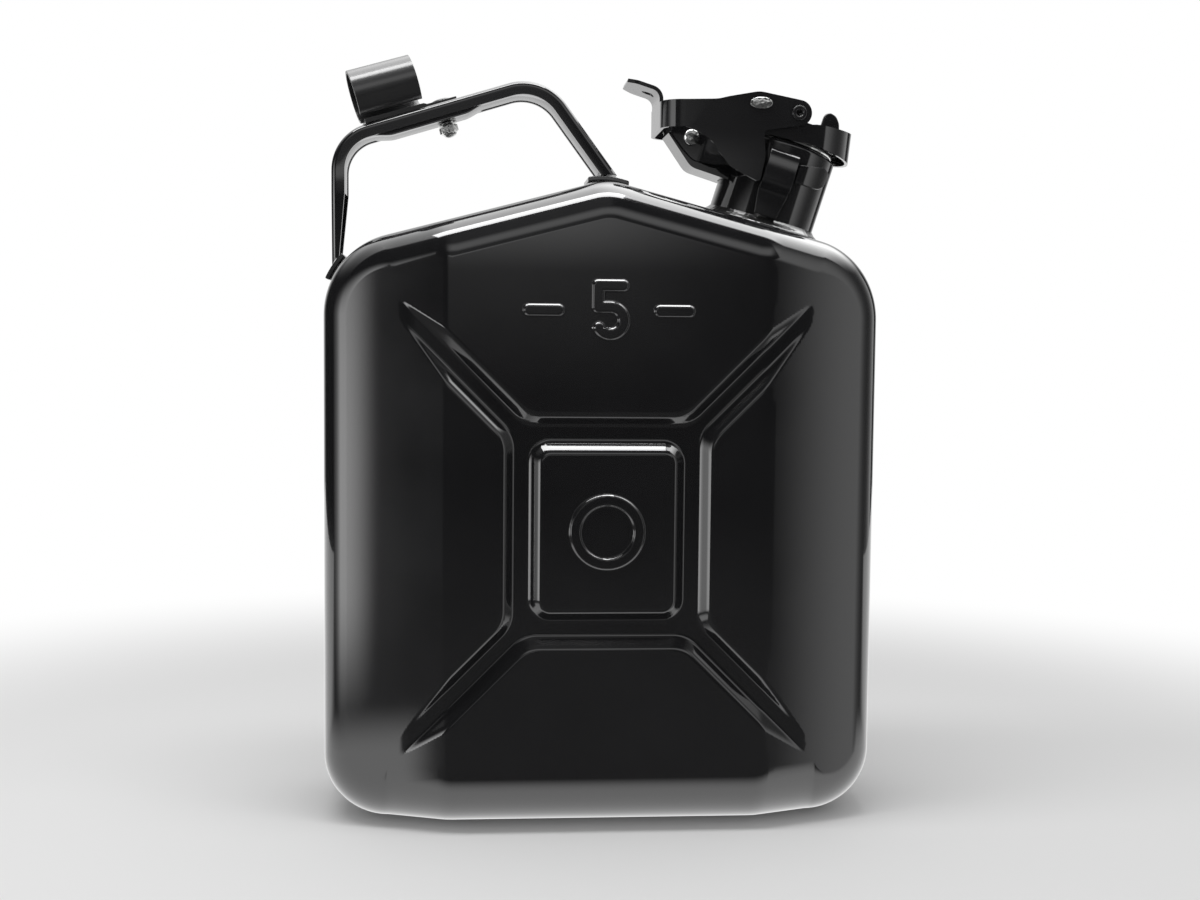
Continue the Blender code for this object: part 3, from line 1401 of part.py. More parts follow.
def spout_clip():
    """A strip rolled into a tube over the grip, with a tongue that the bolt holds down."""
    roll_low = FIT + CLIP_RISE
    centre_out = roll_low + CLIP_RADIUS
    start = -math.pi / 2
    section = []
    for radius, order in ((CLIP_RADIUS, 1), (CLIP_RADIUS - CLIP_SHEET, -1)):
        ring = [start + CLIP_TURN * i / CLIP_STEPS for i in range(CLIP_STEPS + 1)]
        for angle in ring[::order]:
            section.append((radius * math.cos(angle), centre_out + radius * math.sin(angle)))
    far = CLIP_START + CLIP_LENGTH
    rings = [[on_clip(along, out, y) for y, out in section] for along in (CLIP_START, far)]
    verts, faces = loft(rings)
    piece = finish_mesh("spout_clip", verts, faces, black_paint)
    tongue = []
    for along, high in (
        (CLIP_START + CLIP_SHEET, roll_low + CLIP_SHEET / 2), (far, roll_low + CLIP_SHEET / 2),
        (far + CLIP_RISE, FIT + CLIP_SHEET), (BOLT_PLACE + TONGUE_OVERHANG, FIT + CLIP_SHEET),
    ):
        tongue.append([
            on_clip(along, FIT, -TONGUE_HALF), on_clip(along, FIT, TONGUE_HALF),
            on_clip(along, high, TONGUE_HALF), on_clip(along, high, -TONGUE_HALF),
        ])
    boolean(piece, cutter("clip_tongue", loft(tongue)), "UNION")
    boolean(piece, grip_cutter("clip_bolt_cut", on_grip(BOLT_PLACE, 0.0, 0.0)))
    return piece


def bolt_piece(name, course, finish, steps=PIN_STEPS, turn=0.0):
    """A piece turned about the bolt's axis, square to the grip."""
    rings = []
    for radius, out in course:
        ring = []
        for i in range(steps):
            angle = turn + 2 * math.pi * i / steps
            ring.append(on_grip(BOLT_PLACE + radius * math.cos(angle), out, radius * math.sin(angle)))
        rings.append(ring)
    verts, faces = loft(rings)
    return finish_mesh(name, verts, faces, finish)


def clip_fasteners():
    seat = FIT + CLIP_SHEET + FIT
    under = -INSERT_DEPTH - FIT
    nut_top = under - WASHER_SHEET - FIT
    shank_end = nut_top - NUT_HEIGHT + OVERRUN / 2
    bolt_piece("clip_bolt", (
        (BOLT_RADIUS, shank_end), (BOLT_RADIUS, seat), (BOLT_HEAD_RADIUS, seat),
        (BOLT_HEAD_RADIUS * 0.85, seat + BOLT_HEAD * 0.7), (BOLT_HEAD_RADIUS * 0.4, seat + BOLT_HEAD),
    ), black_paint)
    washer = []
    for i in range(PIN_STEPS):
        angle = 2 * math.pi * i / PIN_STEPS
        ring = []
        for radius, out in (
            (BOLT_RADIUS + FIT, under), (WASHER_RADIUS, under),
            (WASHER_RADIUS, under - WASHER_SHEET), (BOLT_RADIUS + FIT, under - WASHER_SHEET),
        ):
            ring.append(on_grip(BOLT_PLACE + radius * math.cos(angle), out, radius * math.sin(angle)))
        washer.append(ring)
    verts, faces = loft(washer, closed_path=True)
    finish_mesh("clip_washer", verts, faces, zinc)
    across = NUT_ACROSS / 2 / math.cos(math.pi / 6)
    nut = bolt_piece("clip_nut", (
        (across, nut_top), (across, nut_top - NUT_HEIGHT),
        (across * 0.72, nut_top - NUT_HEIGHT - NUT_DOME * 0.6),
        (across * 0.3, nut_top - NUT_HEIGHT - NUT_DOME),
    ), zinc, steps=6)
    bore = cutter("nut_bore", upright_rod(BOLT_RADIUS + FIT, -NUT_HEIGHT, OVERRUN, PIN_STEPS))
    _, heading = grip_line()
    bore.location = on_grip(BOLT_PLACE, nut_top, 0.0)
    bore.rotation_euler = (0.0, -math.atan2(heading.y, heading.x), 0.0)
    boolean(nut, bore)


def build():
    neck = frame("neck_frame", None, NECK_ROOT, NECK_LEAN)
    arm = frame("lever_frame", neck, PIVOT, -NECK_LEAN)
    hole = cutter("neck_hole_cut", upright_rod(
        NECK_RADIUS + FIT, -NECK_TAIL * 3, NECK_TAIL * 3
    ), neck)
    for name, facing in (("shell_front", -1), ("shell_rear", 1)):
        boolean(tank_shell(name, facing), hole)
    seam_weld()
    neck_tube(neck)
    neck_weld(neck)
    mouth_ring(neck)
    vent_tube(neck)
    for end, side in (("front", -1), ("rear", 1)):
        hook_strap("hook_strap_" + end, side, neck)
        hook_wing("hook_wing_" + end, side, neck)
        lever_pivot_rivet("lever_pivot_rivet_" + end, side, arm)
        lever_stud("lever_stud_" + end, side, arm)
    hinge_bracket(neck)
    hinge_pin(neck)
    lid_bridge(neck)
    lid_disc(neck)
    lid_gasket(neck)
    lid_rivet(neck)
    lid_lug(neck)
    lever(arm)
    handle()
    handle_foot_left()
    handle_foot_right()
    grip_insert()
    spout_clip()
    clip_fasteners()


build()
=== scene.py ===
import json
import math

import bmesh
import bpy
import numpy as np
from mathutils import Matrix, Vector
from mathutils.geometry import delaunay_2d_cdt


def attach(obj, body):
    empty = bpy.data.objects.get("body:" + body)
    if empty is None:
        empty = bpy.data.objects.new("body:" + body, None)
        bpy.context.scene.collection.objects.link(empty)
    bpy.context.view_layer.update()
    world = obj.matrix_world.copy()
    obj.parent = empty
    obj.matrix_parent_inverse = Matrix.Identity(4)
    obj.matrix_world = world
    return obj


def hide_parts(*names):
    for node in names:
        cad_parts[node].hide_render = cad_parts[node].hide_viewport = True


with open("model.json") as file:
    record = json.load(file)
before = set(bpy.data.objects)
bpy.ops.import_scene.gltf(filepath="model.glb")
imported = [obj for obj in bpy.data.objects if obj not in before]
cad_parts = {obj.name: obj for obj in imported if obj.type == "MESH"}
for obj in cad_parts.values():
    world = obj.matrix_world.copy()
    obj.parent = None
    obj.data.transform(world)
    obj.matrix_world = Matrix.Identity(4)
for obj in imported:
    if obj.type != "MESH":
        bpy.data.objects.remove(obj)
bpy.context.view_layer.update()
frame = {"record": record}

# Tank halves
# Two deep-drawn halves of 1 mm sheet steel, stamped with a cross, a plateau and level marks, and
# sprayed with black gloss enamel. Each is one pressing, and they are welded together at the seam.

MM = 0.001
TANK_HALF_WIDTH = 117.5 * MM
PEAK_HEIGHT = 269.8 * MM
ROOF_ANGLE = math.radians(14.8)
DRAFT = math.tan(math.radians(4.0))
SHEET = 1.0 * MM
BOTTOM_RADIUS = 28.8 * MM
SHOULDER_RADIUS = 36.2 * MM
PEAK_RADIUS = 30.0 * MM
EDGE_RADIUS = 16.0 * MM
BOTTOM_EDGE_RADIUS = 27.0 * MM
SEAM_GAP = 0.15 * MM
PANEL_DEPTH = 54.1 * MM
MARK_RELIEF = 0.85 * MM
MARK_BEVEL = 1.25 * MM
CREASE_X = 64.5 * MM
CREASE_SOFTNESS = 1.6 * MM
SIDE_SLOPE = 0.375
GROOVE_DEPTH = 3.0 * MM
GROOVE_FADES = (30.3 * MM, 38.3 * MM, 100.3 * MM, 108.3 * MM)
GROOVE_LEVELS = [t * MM for t in (0.15, 1.0, 1.8, 2.5, 3.1, 3.7, 4.3, 4.9, 5.5, 6.3)]
GROOVE_FLOOR = 2.4 * MM
GROOVE_LAND = 6.0 * MM
WALL_SHARES = (0.25, 0.5, 0.75)
EDGE_STEPS = 14
EDGE_ROUNDS = 6
CHANNEL_DEPTH = 4.0 * MM
CHANNEL_WALL = 4.4 * MM
CHANNEL_SOFTNESS = 0.95 * MM
ARM_FALL = 0.125
ARM_HALF = 2.83 * MM
CROSS_Z = 124.3 * MM
RING_HALF_X = 37.7 * MM
RING_HALF_Z = 43.1 * MM
CORNER_SOFTNESS = 4.1 * MM
PLATEAU_HALF_X = 31.7 * MM
PLATEAU_HALF_Z = 36.7 * MM
PLATEAU_CORNER = 9.0 * MM
LEVEL_MARK_Z = 213.6 * MM
LEVEL_MARK_X = 26.3 * MM
LEVEL_MARK_REACH = 5.9 * MM
STROKE_HALF = 2.1 * MM
NUMERAL_X = 0.4 * MM
NUMERAL_BOWL_Z = 209.6 * MM
NUMERAL_BOWL_RADIUS = 5.4 * MM
NUMERAL_TOP_Z = 223.6 * MM
NUMERAL_HALF = 5.0 * MM
NUMERAL_TAIL = (-0.835 * NUMERAL_BOWL_RADIUS, -0.55 * NUMERAL_BOWL_RADIUS)
PLAIN_RING_RADIUS = 13.0 * MM
NECK_X = 69.3 * MM
NECK_LEAN = math.radians(17.6)
NECK_HOLE = 23.1 * MM
HOLE_STEPS = 48
NECK_ROOF = (43.5 * MM, 94.0 * MM)
OUTLINE_STEP = 3.0 * MM
FINE_GRID = 0.375 * MM
PLAIN_GRID, NEAR_GRID, WALL_GRID = 8, 4, 2

ROOF_SLOPE = math.tan(ROOF_ANGLE)
SHOULDER_X = TANK_HALF_WIDTH - SHOULDER_RADIUS
SHOULDER_Z = PEAK_HEIGHT - ROOF_SLOPE * SHOULDER_X - SHOULDER_RADIUS / math.cos(ROOF_ANGLE)
PEAK_CENTRE_Z = PEAK_HEIGHT - PEAK_RADIUS / math.cos(ROOF_ANGLE)
NECK_ROOT = Vector((NECK_X, 0.0, PEAK_HEIGHT - ROOF_SLOPE * NECK_X))


def smooth_max(a, b, k):
    share = np.clip(0.5 + 0.5 * (a - b) / k, 0.0, 1.0)
    return b + (a - b) * share + k * share * (1.0 - share)


def smooth_min(a, b, k):
    return -smooth_max(-a, -b, k)


def smooth_step(low, high, value):
    share = np.clip((value - low) / (high - low), 0.0, 1.0)
    return share * share * (3.0 - 2.0 * share)


def run_points(start, end, normal):
    count = max(1, round(math.dist(start, end) / OUTLINE_STEP))
    return [
        (start[0] + (end[0] - start[0]) * i / count, start[1] + (end[1] - start[1]) * i / count)
        + normal for i in range(count)
    ]


def arc_points(centre, radius, start, end):
    count = max(4, round(radius * abs(end - start) / (OUTLINE_STEP * 0.7)))
    points = []
    for i in range(count):
        angle = start + (end - start) * i / count
        normal = (math.cos(angle), math.sin(angle))
        points.append((centre[0] + radius * normal[0], centre[1] + radius * normal[1]) + normal)
    return points


def tank_outline():
    """Points and outward normals once round the tank, from the middle of the bottom."""
    roof = (math.sin(ROOF_ANGLE), math.cos(ROOF_ANGLE))
    shoulder_end = (SHOULDER_X + SHOULDER_RADIUS * roof[0], SHOULDER_Z + SHOULDER_RADIUS * roof[1])
    peak_start = (PEAK_RADIUS * roof[0], PEAK_CENTRE_Z + PEAK_RADIUS * roof[1])
    corner_x = TANK_HALF_WIDTH - BOTTOM_RADIUS
    up = math.pi / 2 - ROOF_ANGLE
    right = run_points((0.0, 0.0), (corner_x, 0.0), (0.0, -1.0))
    right += arc_points((corner_x, BOTTOM_RADIUS), BOTTOM_RADIUS, -math.pi / 2, 0.0)
    right += run_points((TANK_HALF_WIDTH, BOTTOM_RADIUS), (TANK_HALF_WIDTH, SHOULDER_Z), (1.0, 0.0))
    right += arc_points((SHOULDER_X, SHOULDER_Z), SHOULDER_RADIUS, 0.0, up)
    right += run_points(shoulder_end, peak_start, roof)
    right += arc_points((0.0, PEAK_CENTRE_Z), PEAK_RADIUS, up, math.pi / 2)
    top = (0.0, PEAK_CENTRE_Z + PEAK_RADIUS, 0.0, 1.0)
    left = [(-x, z, -nx, nz) for x, z, nx, nz in reversed(right[1:])]
    return np.array(right + [top] + left)


def panel_depth(x):
    """Depth of the face before the cross is pressed in, with its softened crease."""
    return PANEL_DEPTH - SIDE_SLOPE * smooth_max(np.abs(x) - CREASE_X, 0.0, CREASE_SOFTNESS)


def panel_slope(x):
    step = 0.01 * MM
    return (panel_depth(x + step) - panel_depth(x - step)) / (2 * step)


def stroke_distance(x, z, start, end):
    along = np.array(end) - np.array(start)
    share = ((x - start[0]) * along[0] + (z - start[1]) * along[1]) / (along @ along)
    share = np.clip(share, 0.0, 1.0)
    return np.hypot(x - start[0] - along[0] * share, z - start[1] - along[1] * share)


def mark_distance(x, z, facing):
    """Distance to the middle of the nearest embossed stroke; the rear has the level marks only."""
    left, waist = NUMERAL_X - NUMERAL_HALF, NUMERAL_BOWL_Z + NUMERAL_BOWL_RADIUS
    strokes = [((middle - LEVEL_MARK_REACH, LEVEL_MARK_Z), (middle + LEVEL_MARK_REACH, LEVEL_MARK_Z))
               for middle in (-LEVEL_MARK_X, LEVEL_MARK_X)]
    if facing < 0:
        strokes += [((left, NUMERAL_TOP_Z), (NUMERAL_X + NUMERAL_HALF, NUMERAL_TOP_Z)),
                    ((left, NUMERAL_TOP_Z), (left, waist)), ((left, waist), (NUMERAL_X, waist))]
    near = np.full(np.shape(x), 1.0)
    for start, end in strokes:
        near = np.minimum(near, stroke_distance(x, z, start, end))
    if facing > 0:
        return near
    around_x = x - NUMERAL_X
    around_z = z - NUMERAL_BOWL_Z
    bowl = np.abs(np.hypot(around_x, around_z) - NUMERAL_BOWL_RADIUS)
    open_side = (around_x < 0) & (around_z > NUMERAL_TAIL[1])
    tail = np.hypot(around_x - NUMERAL_TAIL[0], around_z - NUMERAL_TAIL[1])
    bowl = np.where(open_side, tail, bowl)
    ring = np.abs(np.hypot(x, z - CROSS_Z) - PLAIN_RING_RADIUS)
    return np.minimum(np.minimum(near, bowl), ring)


def cross_distance(x, z):
    """How far a place lies inside the raised panel nearest to it, from that panel's foot."""
    side = np.abs(x)
    rise = np.abs(z - CROSS_Z)
    cap_corner = RING_HALF_X - ARM_HALF * math.sqrt(2.0)
    flank_corner = RING_HALF_Z - ARM_HALF * math.sqrt(2.0)
    cap = smooth_min(
        rise - RING_HALF_Z, (rise - RING_HALF_Z - side + cap_corner) / math.sqrt(2.0),
        CORNER_SOFTNESS,
    )
    flank = smooth_min(
        side - RING_HALF_X, (side - RING_HALF_X - rise + flank_corner) / math.sqrt(2.0),
        CORNER_SOFTNESS,
    )
    box_x = side - (PLATEAU_HALF_X - PLATEAU_CORNER)
    box_z = rise - (PLATEAU_HALF_Z - PLATEAU_CORNER)
    outside = np.hypot(np.maximum(box_x, 0.0), np.maximum(box_z, 0.0))
    plateau = PLATEAU_CORNER - outside - np.minimum(np.maximum(box_x, box_z), 0.0)
    return np.maximum(np.maximum(cap, flank), plateau)


def pressed_depth(x, z, facing):
    """Depth of the stamped face from the seam plane."""
    floor = PANEL_DEPTH - CHANNEL_DEPTH
    floor = floor - ARM_FALL * smooth_max(np.abs(x) - CREASE_X, 0.0, CREASE_SOFTNESS)
    inside = smooth_max(cross_distance(x, z), 0.0, CHANNEL_SOFTNESS)
    wall = floor + inside * CHANNEL_DEPTH / CHANNEL_WALL
    depth = smooth_min(panel_depth(x), wall, CHANNEL_SOFTNESS)
    return depth + MARK_RELIEF * smooth_step(-MARK_BEVEL, 0.0, STROKE_HALF - MARK_BEVEL * 0.5
                                             - mark_distance(x, z, facing))


def pressed_normal(x, z, facing):
    step = 0.02 * MM
    slope_x = pressed_depth(x + step, z, facing) - pressed_depth(x - step, z, facing)
    slope_z = pressed_depth(x, z + step, facing) - pressed_depth(x, z - step, facing)
    normal = np.stack([-slope_x, np.full(np.shape(x), facing * 2 * step), -slope_z], axis=-1)
    return normal / np.linalg.norm(normal, axis=-1, keepdims=True)


def groove_at(x, z):
    """Depth of the seam groove, which runs out on the roof beside the neck."""
    if z < SHOULDER_Z:
        return GROOVE_DEPTH
    fade = smooth_step(*GROOVE_FADES[:2], x) * (1.0 - smooth_step(*GROOVE_FADES[2:], x))
    return GROOVE_DEPTH * (1.0 - float(fade))


def edge_section(station):
    """(inset, depth) steps from the seam, up the wall and round the edge to the face."""
    x, z, nx, nz = station
    lean = DRAFT * (1.0 - max(0.0, -nz))
    radius = EDGE_RADIUS + (BOTTOM_EDGE_RADIUS - EDGE_RADIUS) * max(0.0, -nz)
    end_inset = radius
    for _ in range(EDGE_ROUNDS):
        reach_x = x - nx * end_inset
        slope = float(panel_slope(reach_x))
        base = float(panel_depth(reach_x)) + slope * nx * end_inset
        rise = -slope * nx
        depth = base / (1.0 - rise * lean)
        wall = Vector((lean, 1.0)).normalized()
        face = Vector((1.0, rise)).normalized()
        turn = wall.angle(face)
        tangent = radius * math.tan(turn / 2)
        first = Vector((lean * depth, depth)) - wall * tangent
        inward = Vector((wall.y, -wall.x))
        centre = first + inward * radius
        end_inset = lean * depth + face.x * tangent
    groove = groove_at(x, z)
    steps = []
    for t in GROOVE_LEVELS:
        cut = groove * (1.0 - float(smooth_step(GROOVE_FLOOR, GROOVE_LAND, t)))
        steps.append((lean * t + cut, t))
    start = GROOVE_LEVELS[-1]
    for share in WALL_SHARES:
        t = start + (first.y - start) * share
        steps.append((lean * t, t))
    for i in range(EDGE_STEPS + 1):
        angle = turn * i / EDGE_STEPS
        place = centre + (-inward * math.cos(angle) + wall * math.sin(angle)) * radius
        steps.append((place.x, place.y))
    return steps


def face_places(outline, rim_insets, facing):
    """Grid places on the face, closer together on the pressed walls and the marks."""
    low = outline[:, :2].min(axis=0)
    high = outline[:, :2].max(axis=0)
    count = ((high - low) / FINE_GRID).astype(int)
    ix, iz = np.meshgrid(np.arange(count[0]), np.arange(count[1]), indexing="ij")
    x = low[0] + ix * FINE_GRID
    z = low[1] + iz * FINE_GRID
    inside = cross_distance(x, z)
    mark = np.abs(mark_distance(x, z, facing) - STROKE_HALF)
    wall = (inside > -CHANNEL_SOFTNESS * 2) & (inside < CHANNEL_WALL + CHANNEL_SOFTNESS * 2)
    near = (inside > -CHANNEL_WALL) & (inside < CHANNEL_WALL * 2.5)
    near |= np.abs(np.abs(x) - CREASE_X) < CREASE_SOFTNESS
    keep = mark < MARK_BEVEL * 1.3
    for area, every in ((True, PLAIN_GRID), (near, NEAR_GRID), (wall, WALL_GRID)):
        keep |= area & (ix % every == 0) & (iz % every == 0)
    x, z = x[keep], z[keep]
    room = np.full(len(x), np.inf)
    for (px, pz, nx, nz), inset in zip(outline, rim_insets):
        room = np.minimum(room, (px - x) * nx + (pz - z) * nz - inset)
    spare = room > OUTLINE_STEP * 0.4
    return np.stack([x[spare], z[spare]], axis=1)


def neck_notch(outline, lengths, first, last):
    """Places round the neck's hole, as (run along the outline, depth) pairs."""
    tilt = NECK_LEAN - ROOF_ANGLE
    along = lengths[first:last + 1]
    root = np.interp(-NECK_X, -outline[first:last + 1, 0], along)
    start = math.asin(SEAM_GAP / NECK_HOLE)
    places = []
    for i in range(HOLE_STEPS + 1):
        angle = start + (math.pi - 2 * start) * i / HOLE_STEPS
        t = NECK_HOLE * math.sin(angle)
        u = NECK_HOLE * math.cos(angle)
        places.append((root - (u - DRAFT * t * math.sin(tilt)) / math.cos(tilt), t))
    return places


def filled(rim, inner=()):
    """Triangles over a flat outline and the places inside it, as places' numbers in both."""
    points = [Vector(p) for p in rim] + [Vector(p) for p in inner]
    edges = [(k, (k + 1) % len(rim)) for k in range(len(rim))]
    out = delaunay_2d_cdt(points, edges, [list(range(len(rim)))], 1, 1e-9, True)
    return [[out[3][i][0] for i in triangle] for triangle, owner in zip(out[2], out[5]) if owner]


def tank_half(name, facing):
    outline = tank_outline()
    count = len(outline)
    sections = np.array([edge_section(station) for station in outline])
    levels = sections.shape[1]
    grid = np.zeros((levels, count, 3))
    grid[:, :, 0] = outline[:, 0] - outline[:, 2] * sections[:, :, 0].T
    grid[:, :, 1] = facing * sections[:, :, 1].T
    grid[:, :, 2] = outline[:, 1] - outline[:, 3] * sections[:, :, 0].T
    along = np.roll(grid, -1, axis=1) - np.roll(grid, 1, axis=1)
    rise = np.gradient(grid, axis=0)
    normals = np.cross(along, rise)
    normals /= np.linalg.norm(normals, axis=-1, keepdims=True)
    outward = np.sign((normals[0, :, 0] * outline[:, 2] + normals[0, :, 2] * outline[:, 3]).mean())
    normals *= outward
    normals[0, :, 1] = 0.0
    normals[0] /= np.linalg.norm(normals[0], axis=-1, keepdims=True)
    normals[-1] = pressed_normal(grid[-1, :, 0], grid[-1, :, 2], facing)
    verts = list(grid.reshape(-1, 3))
    shade = list(normals.reshape(-1, 3))

    steps = np.linalg.norm(np.diff(outline[:, :2], axis=0), axis=1)
    lengths = np.concatenate([[0.0], np.cumsum(steps)])
    on_roof = np.nonzero((outline[:, 1] > SHOULDER_Z) & (outline[:, 0] > NECK_ROOF[0])
                         & (outline[:, 0] < NECK_ROOF[1]))[0]
    first, last = int(on_roof.min()), int(on_roof.max())
    edge_row = len(GROOVE_LEVELS) + len(WALL_SHARES)
    faces = []
    for level in range(levels - 1):
        for i in range(count):
            if level < edge_row and first <= i < last:
                continue
            j = (i + 1) % count
            a = level * count
            faces.append((a + i, a + j, a + count + j, a + count + i))

    # The roof round the neck, with the neck's half hole left out of it
    notch = neck_notch(outline, lengths, first, last)

    def station(level, i):
        return (lengths[i], sections[i, level, 1]), level * count + i

    loop = [station(0, i) for i in range(first, last + 1) if lengths[i] < notch[0][0]]
    loop += [(place, None) for place in notch]
    loop += [station(0, i) for i in range(first, last + 1) if lengths[i] > notch[-1][0]]
    loop += [station(level, last) for level in range(1, edge_row + 1)]
    loop += [station(edge_row, i) for i in range(last - 1, first - 1, -1)]
    loop += [station(level, first) for level in range(edge_row - 1, 0, -1)]
    numbers = []
    for (run, t), number in loop:
        numbers.append(len(verts) if number is None else number)
        if number is None:
            x, z, nx, nz = [np.interp(run, lengths, outline[:, c]) for c in range(4)]
            lean = np.array([nx, -facing * DRAFT, nz])
            verts.append(np.array([x - nx * DRAFT * t, facing * t, z - nz * DRAFT * t]))
            shade.append(lean / np.linalg.norm(lean))
    faces += [tuple(numbers[i] for i in picks) for picks in filled([place for place, _ in loop])]

    # The stamped face
    places = face_places(outline, sections[:, -1, 0], facing)
    base = len(verts)
    depth = facing * pressed_depth(places[:, 0], places[:, 1], facing)
    verts += list(np.stack([places[:, 0], depth, places[:, 1]], axis=1))
    shade += list(pressed_normal(places[:, 0], places[:, 1], facing))
    rim_row = (levels - 1) * count
    for picks in filled(grid[-1][:, [0, 2]], places):
        faces.append(tuple(rim_row + p if p < count else base + p - count for p in picks))
    return sheet_object(name, np.array(verts), np.array(shade), faces, SHEET)


def in_scene(name, data):
    thing = bpy.data.objects.new(name, data)
    bpy.context.scene.collection.objects.link(thing)
    return thing


def sheet_object(name, verts, shade, faces, thickness):
    """A skin with smooth normals, given its thickness inwards and closed round its edges."""
    used = sorted({i for face in faces for i in face})
    order = {old: new for new, old in enumerate(used)}
    verts, shade = verts[used], shade[used]
    faces = [tuple(order[i] for i in face) for face in faces]
    sheet = []
    for face in faces:
        a, b, c = (verts[i] for i in face[:3])
        flip = np.dot(np.cross(b - a, c - a), shade[face[0]]) < 0
        sheet.append(face[::-1] if flip else face)
    sides = dict.fromkeys(side for face in sheet for side in zip(face, face[1:] + face[:1]))
    count = len(verts)
    skin = sheet + [tuple(i + count for i in face[::-1]) for face in sheet]
    skin += [(b, a, a + count, b + count) for a, b in sides if (b, a) not in sides]
    mesh = bpy.data.meshes.new(name)
    mesh.from_pydata(np.concatenate([verts, verts - shade * thickness]).tolist(), [], skin)
    mesh.shade_smooth()
    mesh.normals_split_custom_set_from_vertices(np.concatenate([shade, -shade]).tolist())
    return in_scene(name, mesh)


def feed(tree, node, inputs):
    """Links sockets to a node's inputs, and sets plain values on them."""
    for name, value in inputs.items():
        if isinstance(value, bpy.types.NodeSocket):
            tree.links.new(value, node.inputs[name])
        else:
            node.inputs[name].default_value = value


def node_for(tree, kind, inputs, **settings):
    """A new node of the tree, with its settings made and its inputs fed."""
    node = tree.nodes.new("ShaderNode" + kind)
    for name, value in settings.items():
        setattr(node, name, value)
    feed(tree, node, inputs)
    return node.outputs


def blank_finish(name):
    """A new material's tree, its shader, and the place on the piece that textures start from."""
    made = bpy.data.materials.new(name)
    made.use_nodes = True
    tree = made.node_tree
    return made, tree, tree.nodes["Principled BSDF"], node_for(tree, "TexCoord", {})["Object"]


def mixed(tree, share, first, second):
    colours = {0: share, 6: (*first, 1.0), 7: (*second, 1.0)}
    return node_for(tree, "Mix", colours, data_type="RGBA")[2]


def enamel(name, shade, roughness, dust=0.5, sheen=0.03):
    """Black gloss enamel: fine orange peel, soft handling haze and a few dust nibs."""
    made, tree, paint, place = blank_finish(name)
    peel = node_for(tree, "TexNoise", {"Vector": place, "Scale": 420.0, "Detail": 2.0})["Fac"]
    haze = node_for(tree, "TexNoise", {
        "Vector": place, "Scale": 22.0, "Detail": 6.0, "Roughness": 0.62,
    })["Fac"]
    nibs = node_for(tree, "TexVoronoi", {"Vector": place, "Scale": 260.0})["Distance"]
    nib_size = node_for(tree, "MapRange", {"Value": nibs, "From Min": 0.05, "From Max": 0.0})["Result"]
    gloss = node_for(tree, "MapRange", {
        "Value": haze, "From Min": 0.35, "From Max": 0.75, "To Min": roughness,
        "To Max": roughness + 0.09,
    })["Result"]
    dusty = [c * 1.8 + 0.003 * dust for c in shade]
    lift = node_for(tree, "Math", {0: nib_size, 1: 0.6 * dust, 2: peel}, operation="MULTIPLY_ADD")[0]
    bump = node_for(tree, "Bump", {"Strength": 0.05, "Distance": 0.0001, "Height": lift})["Normal"]
    feed(tree, paint, {
        "Metallic": 0.0, "IOR": 1.5, "Coat Weight": 1.0, "Specular IOR Level": 0.25, "Coat IOR": 1.85,
        "Coat Roughness": sheen, "Normal": bump, "Roughness": gloss,
        "Base Color": mixed(tree, haze, shade, dusty),
    })
    return made


tank_enamel = enamel("tank_enamel", (0.0065, 0.0065, 0.007), 0.10)
for half_name, node, facing in (
    ("tank_half_front", "shell_front", -1), ("tank_half_rear", "shell_rear", 1)
):
    half = tank_half(half_name, facing)
    half.data.materials.append(tank_enamel)
    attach(half, "can")
    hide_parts(node)

# Seam weld
# The bead that joins the two halves, laid in the groove round the rim by a torch that moved in
# short steps, which left its ripples. It stops either side of the neck, and is painted over.

WELD_HALF = 1.8 * MM
WELD_HEIGHT = 1.75 * MM
WELD_SEAT = 2.7 * MM
WELD_PITCH = 1.9 * MM
WELD_RIPPLE = 0.16 * MM
WELD_STEP = 0.475 * MM
WELD_POINTS = 9


def eased(points, reach, steps=3, closed=True):
    """A path with each corner rounded by a curve that starts the given reach before it."""
    points = [Vector(p) for p in points]
    path = []
    for i, corner in enumerate(points):
        if not closed and i in (0, len(points) - 1):
            path.append(corner)
            continue
        back = points[i - 1] - corner
        on = points[(i + 1) % len(points)] - corner
        start = corner + back * min(0.45, reach / back.length)
        end = corner + on * min(0.45, reach / on.length)
        for k in range(steps + 1):
            t = k / steps
            path.append(start * (1 - t) ** 2 + corner * (2 * t * (1 - t)) + end * t ** 2)
    return path


def arc(centre, radius, start, end, steps):
    """Points on a circle, both ends included."""
    angles = [start + (end - start) * i / steps for i in range(steps + 1)]
    return [(centre[0] + radius * math.cos(a), centre[1] + radius * math.sin(a)) for a in angles]


def loft(rings, closed_path=False):
    """Joins rings of equal length, and caps both ends unless the path closes on itself."""
    count = len(rings[0])
    verts = [v for ring in rings for v in ring]
    faces = []
    for r in range(len(rings) if closed_path else len(rings) - 1):
        a, b = r * count, ((r + 1) % len(rings)) * count
        for i in range(count):
            j = (i + 1) % count
            faces.append((a + i, a + j, b + j, b + i))
    if not closed_path:
        faces.append(tuple(range(count)))
        faces.append(tuple(range(len(verts) - count, len(verts))))
    return verts, faces


def raw_piece(name, shape, place):
    verts, faces = shape
    mesh = bpy.data.meshes.new(name)
    mesh.from_pydata([place @ Vector(v) for v in verts], [], faces)
    edit = bmesh.new()
    edit.from_mesh(mesh)
    bmesh.ops.connect_verts_nonplanar(edit, angle_limit=0.002, faces=edit.faces[:])
    bmesh.ops.recalc_face_normals(edit, faces=edit.faces)
    edit.to_mesh(mesh)
    edit.free()
    return in_scene(name, mesh)


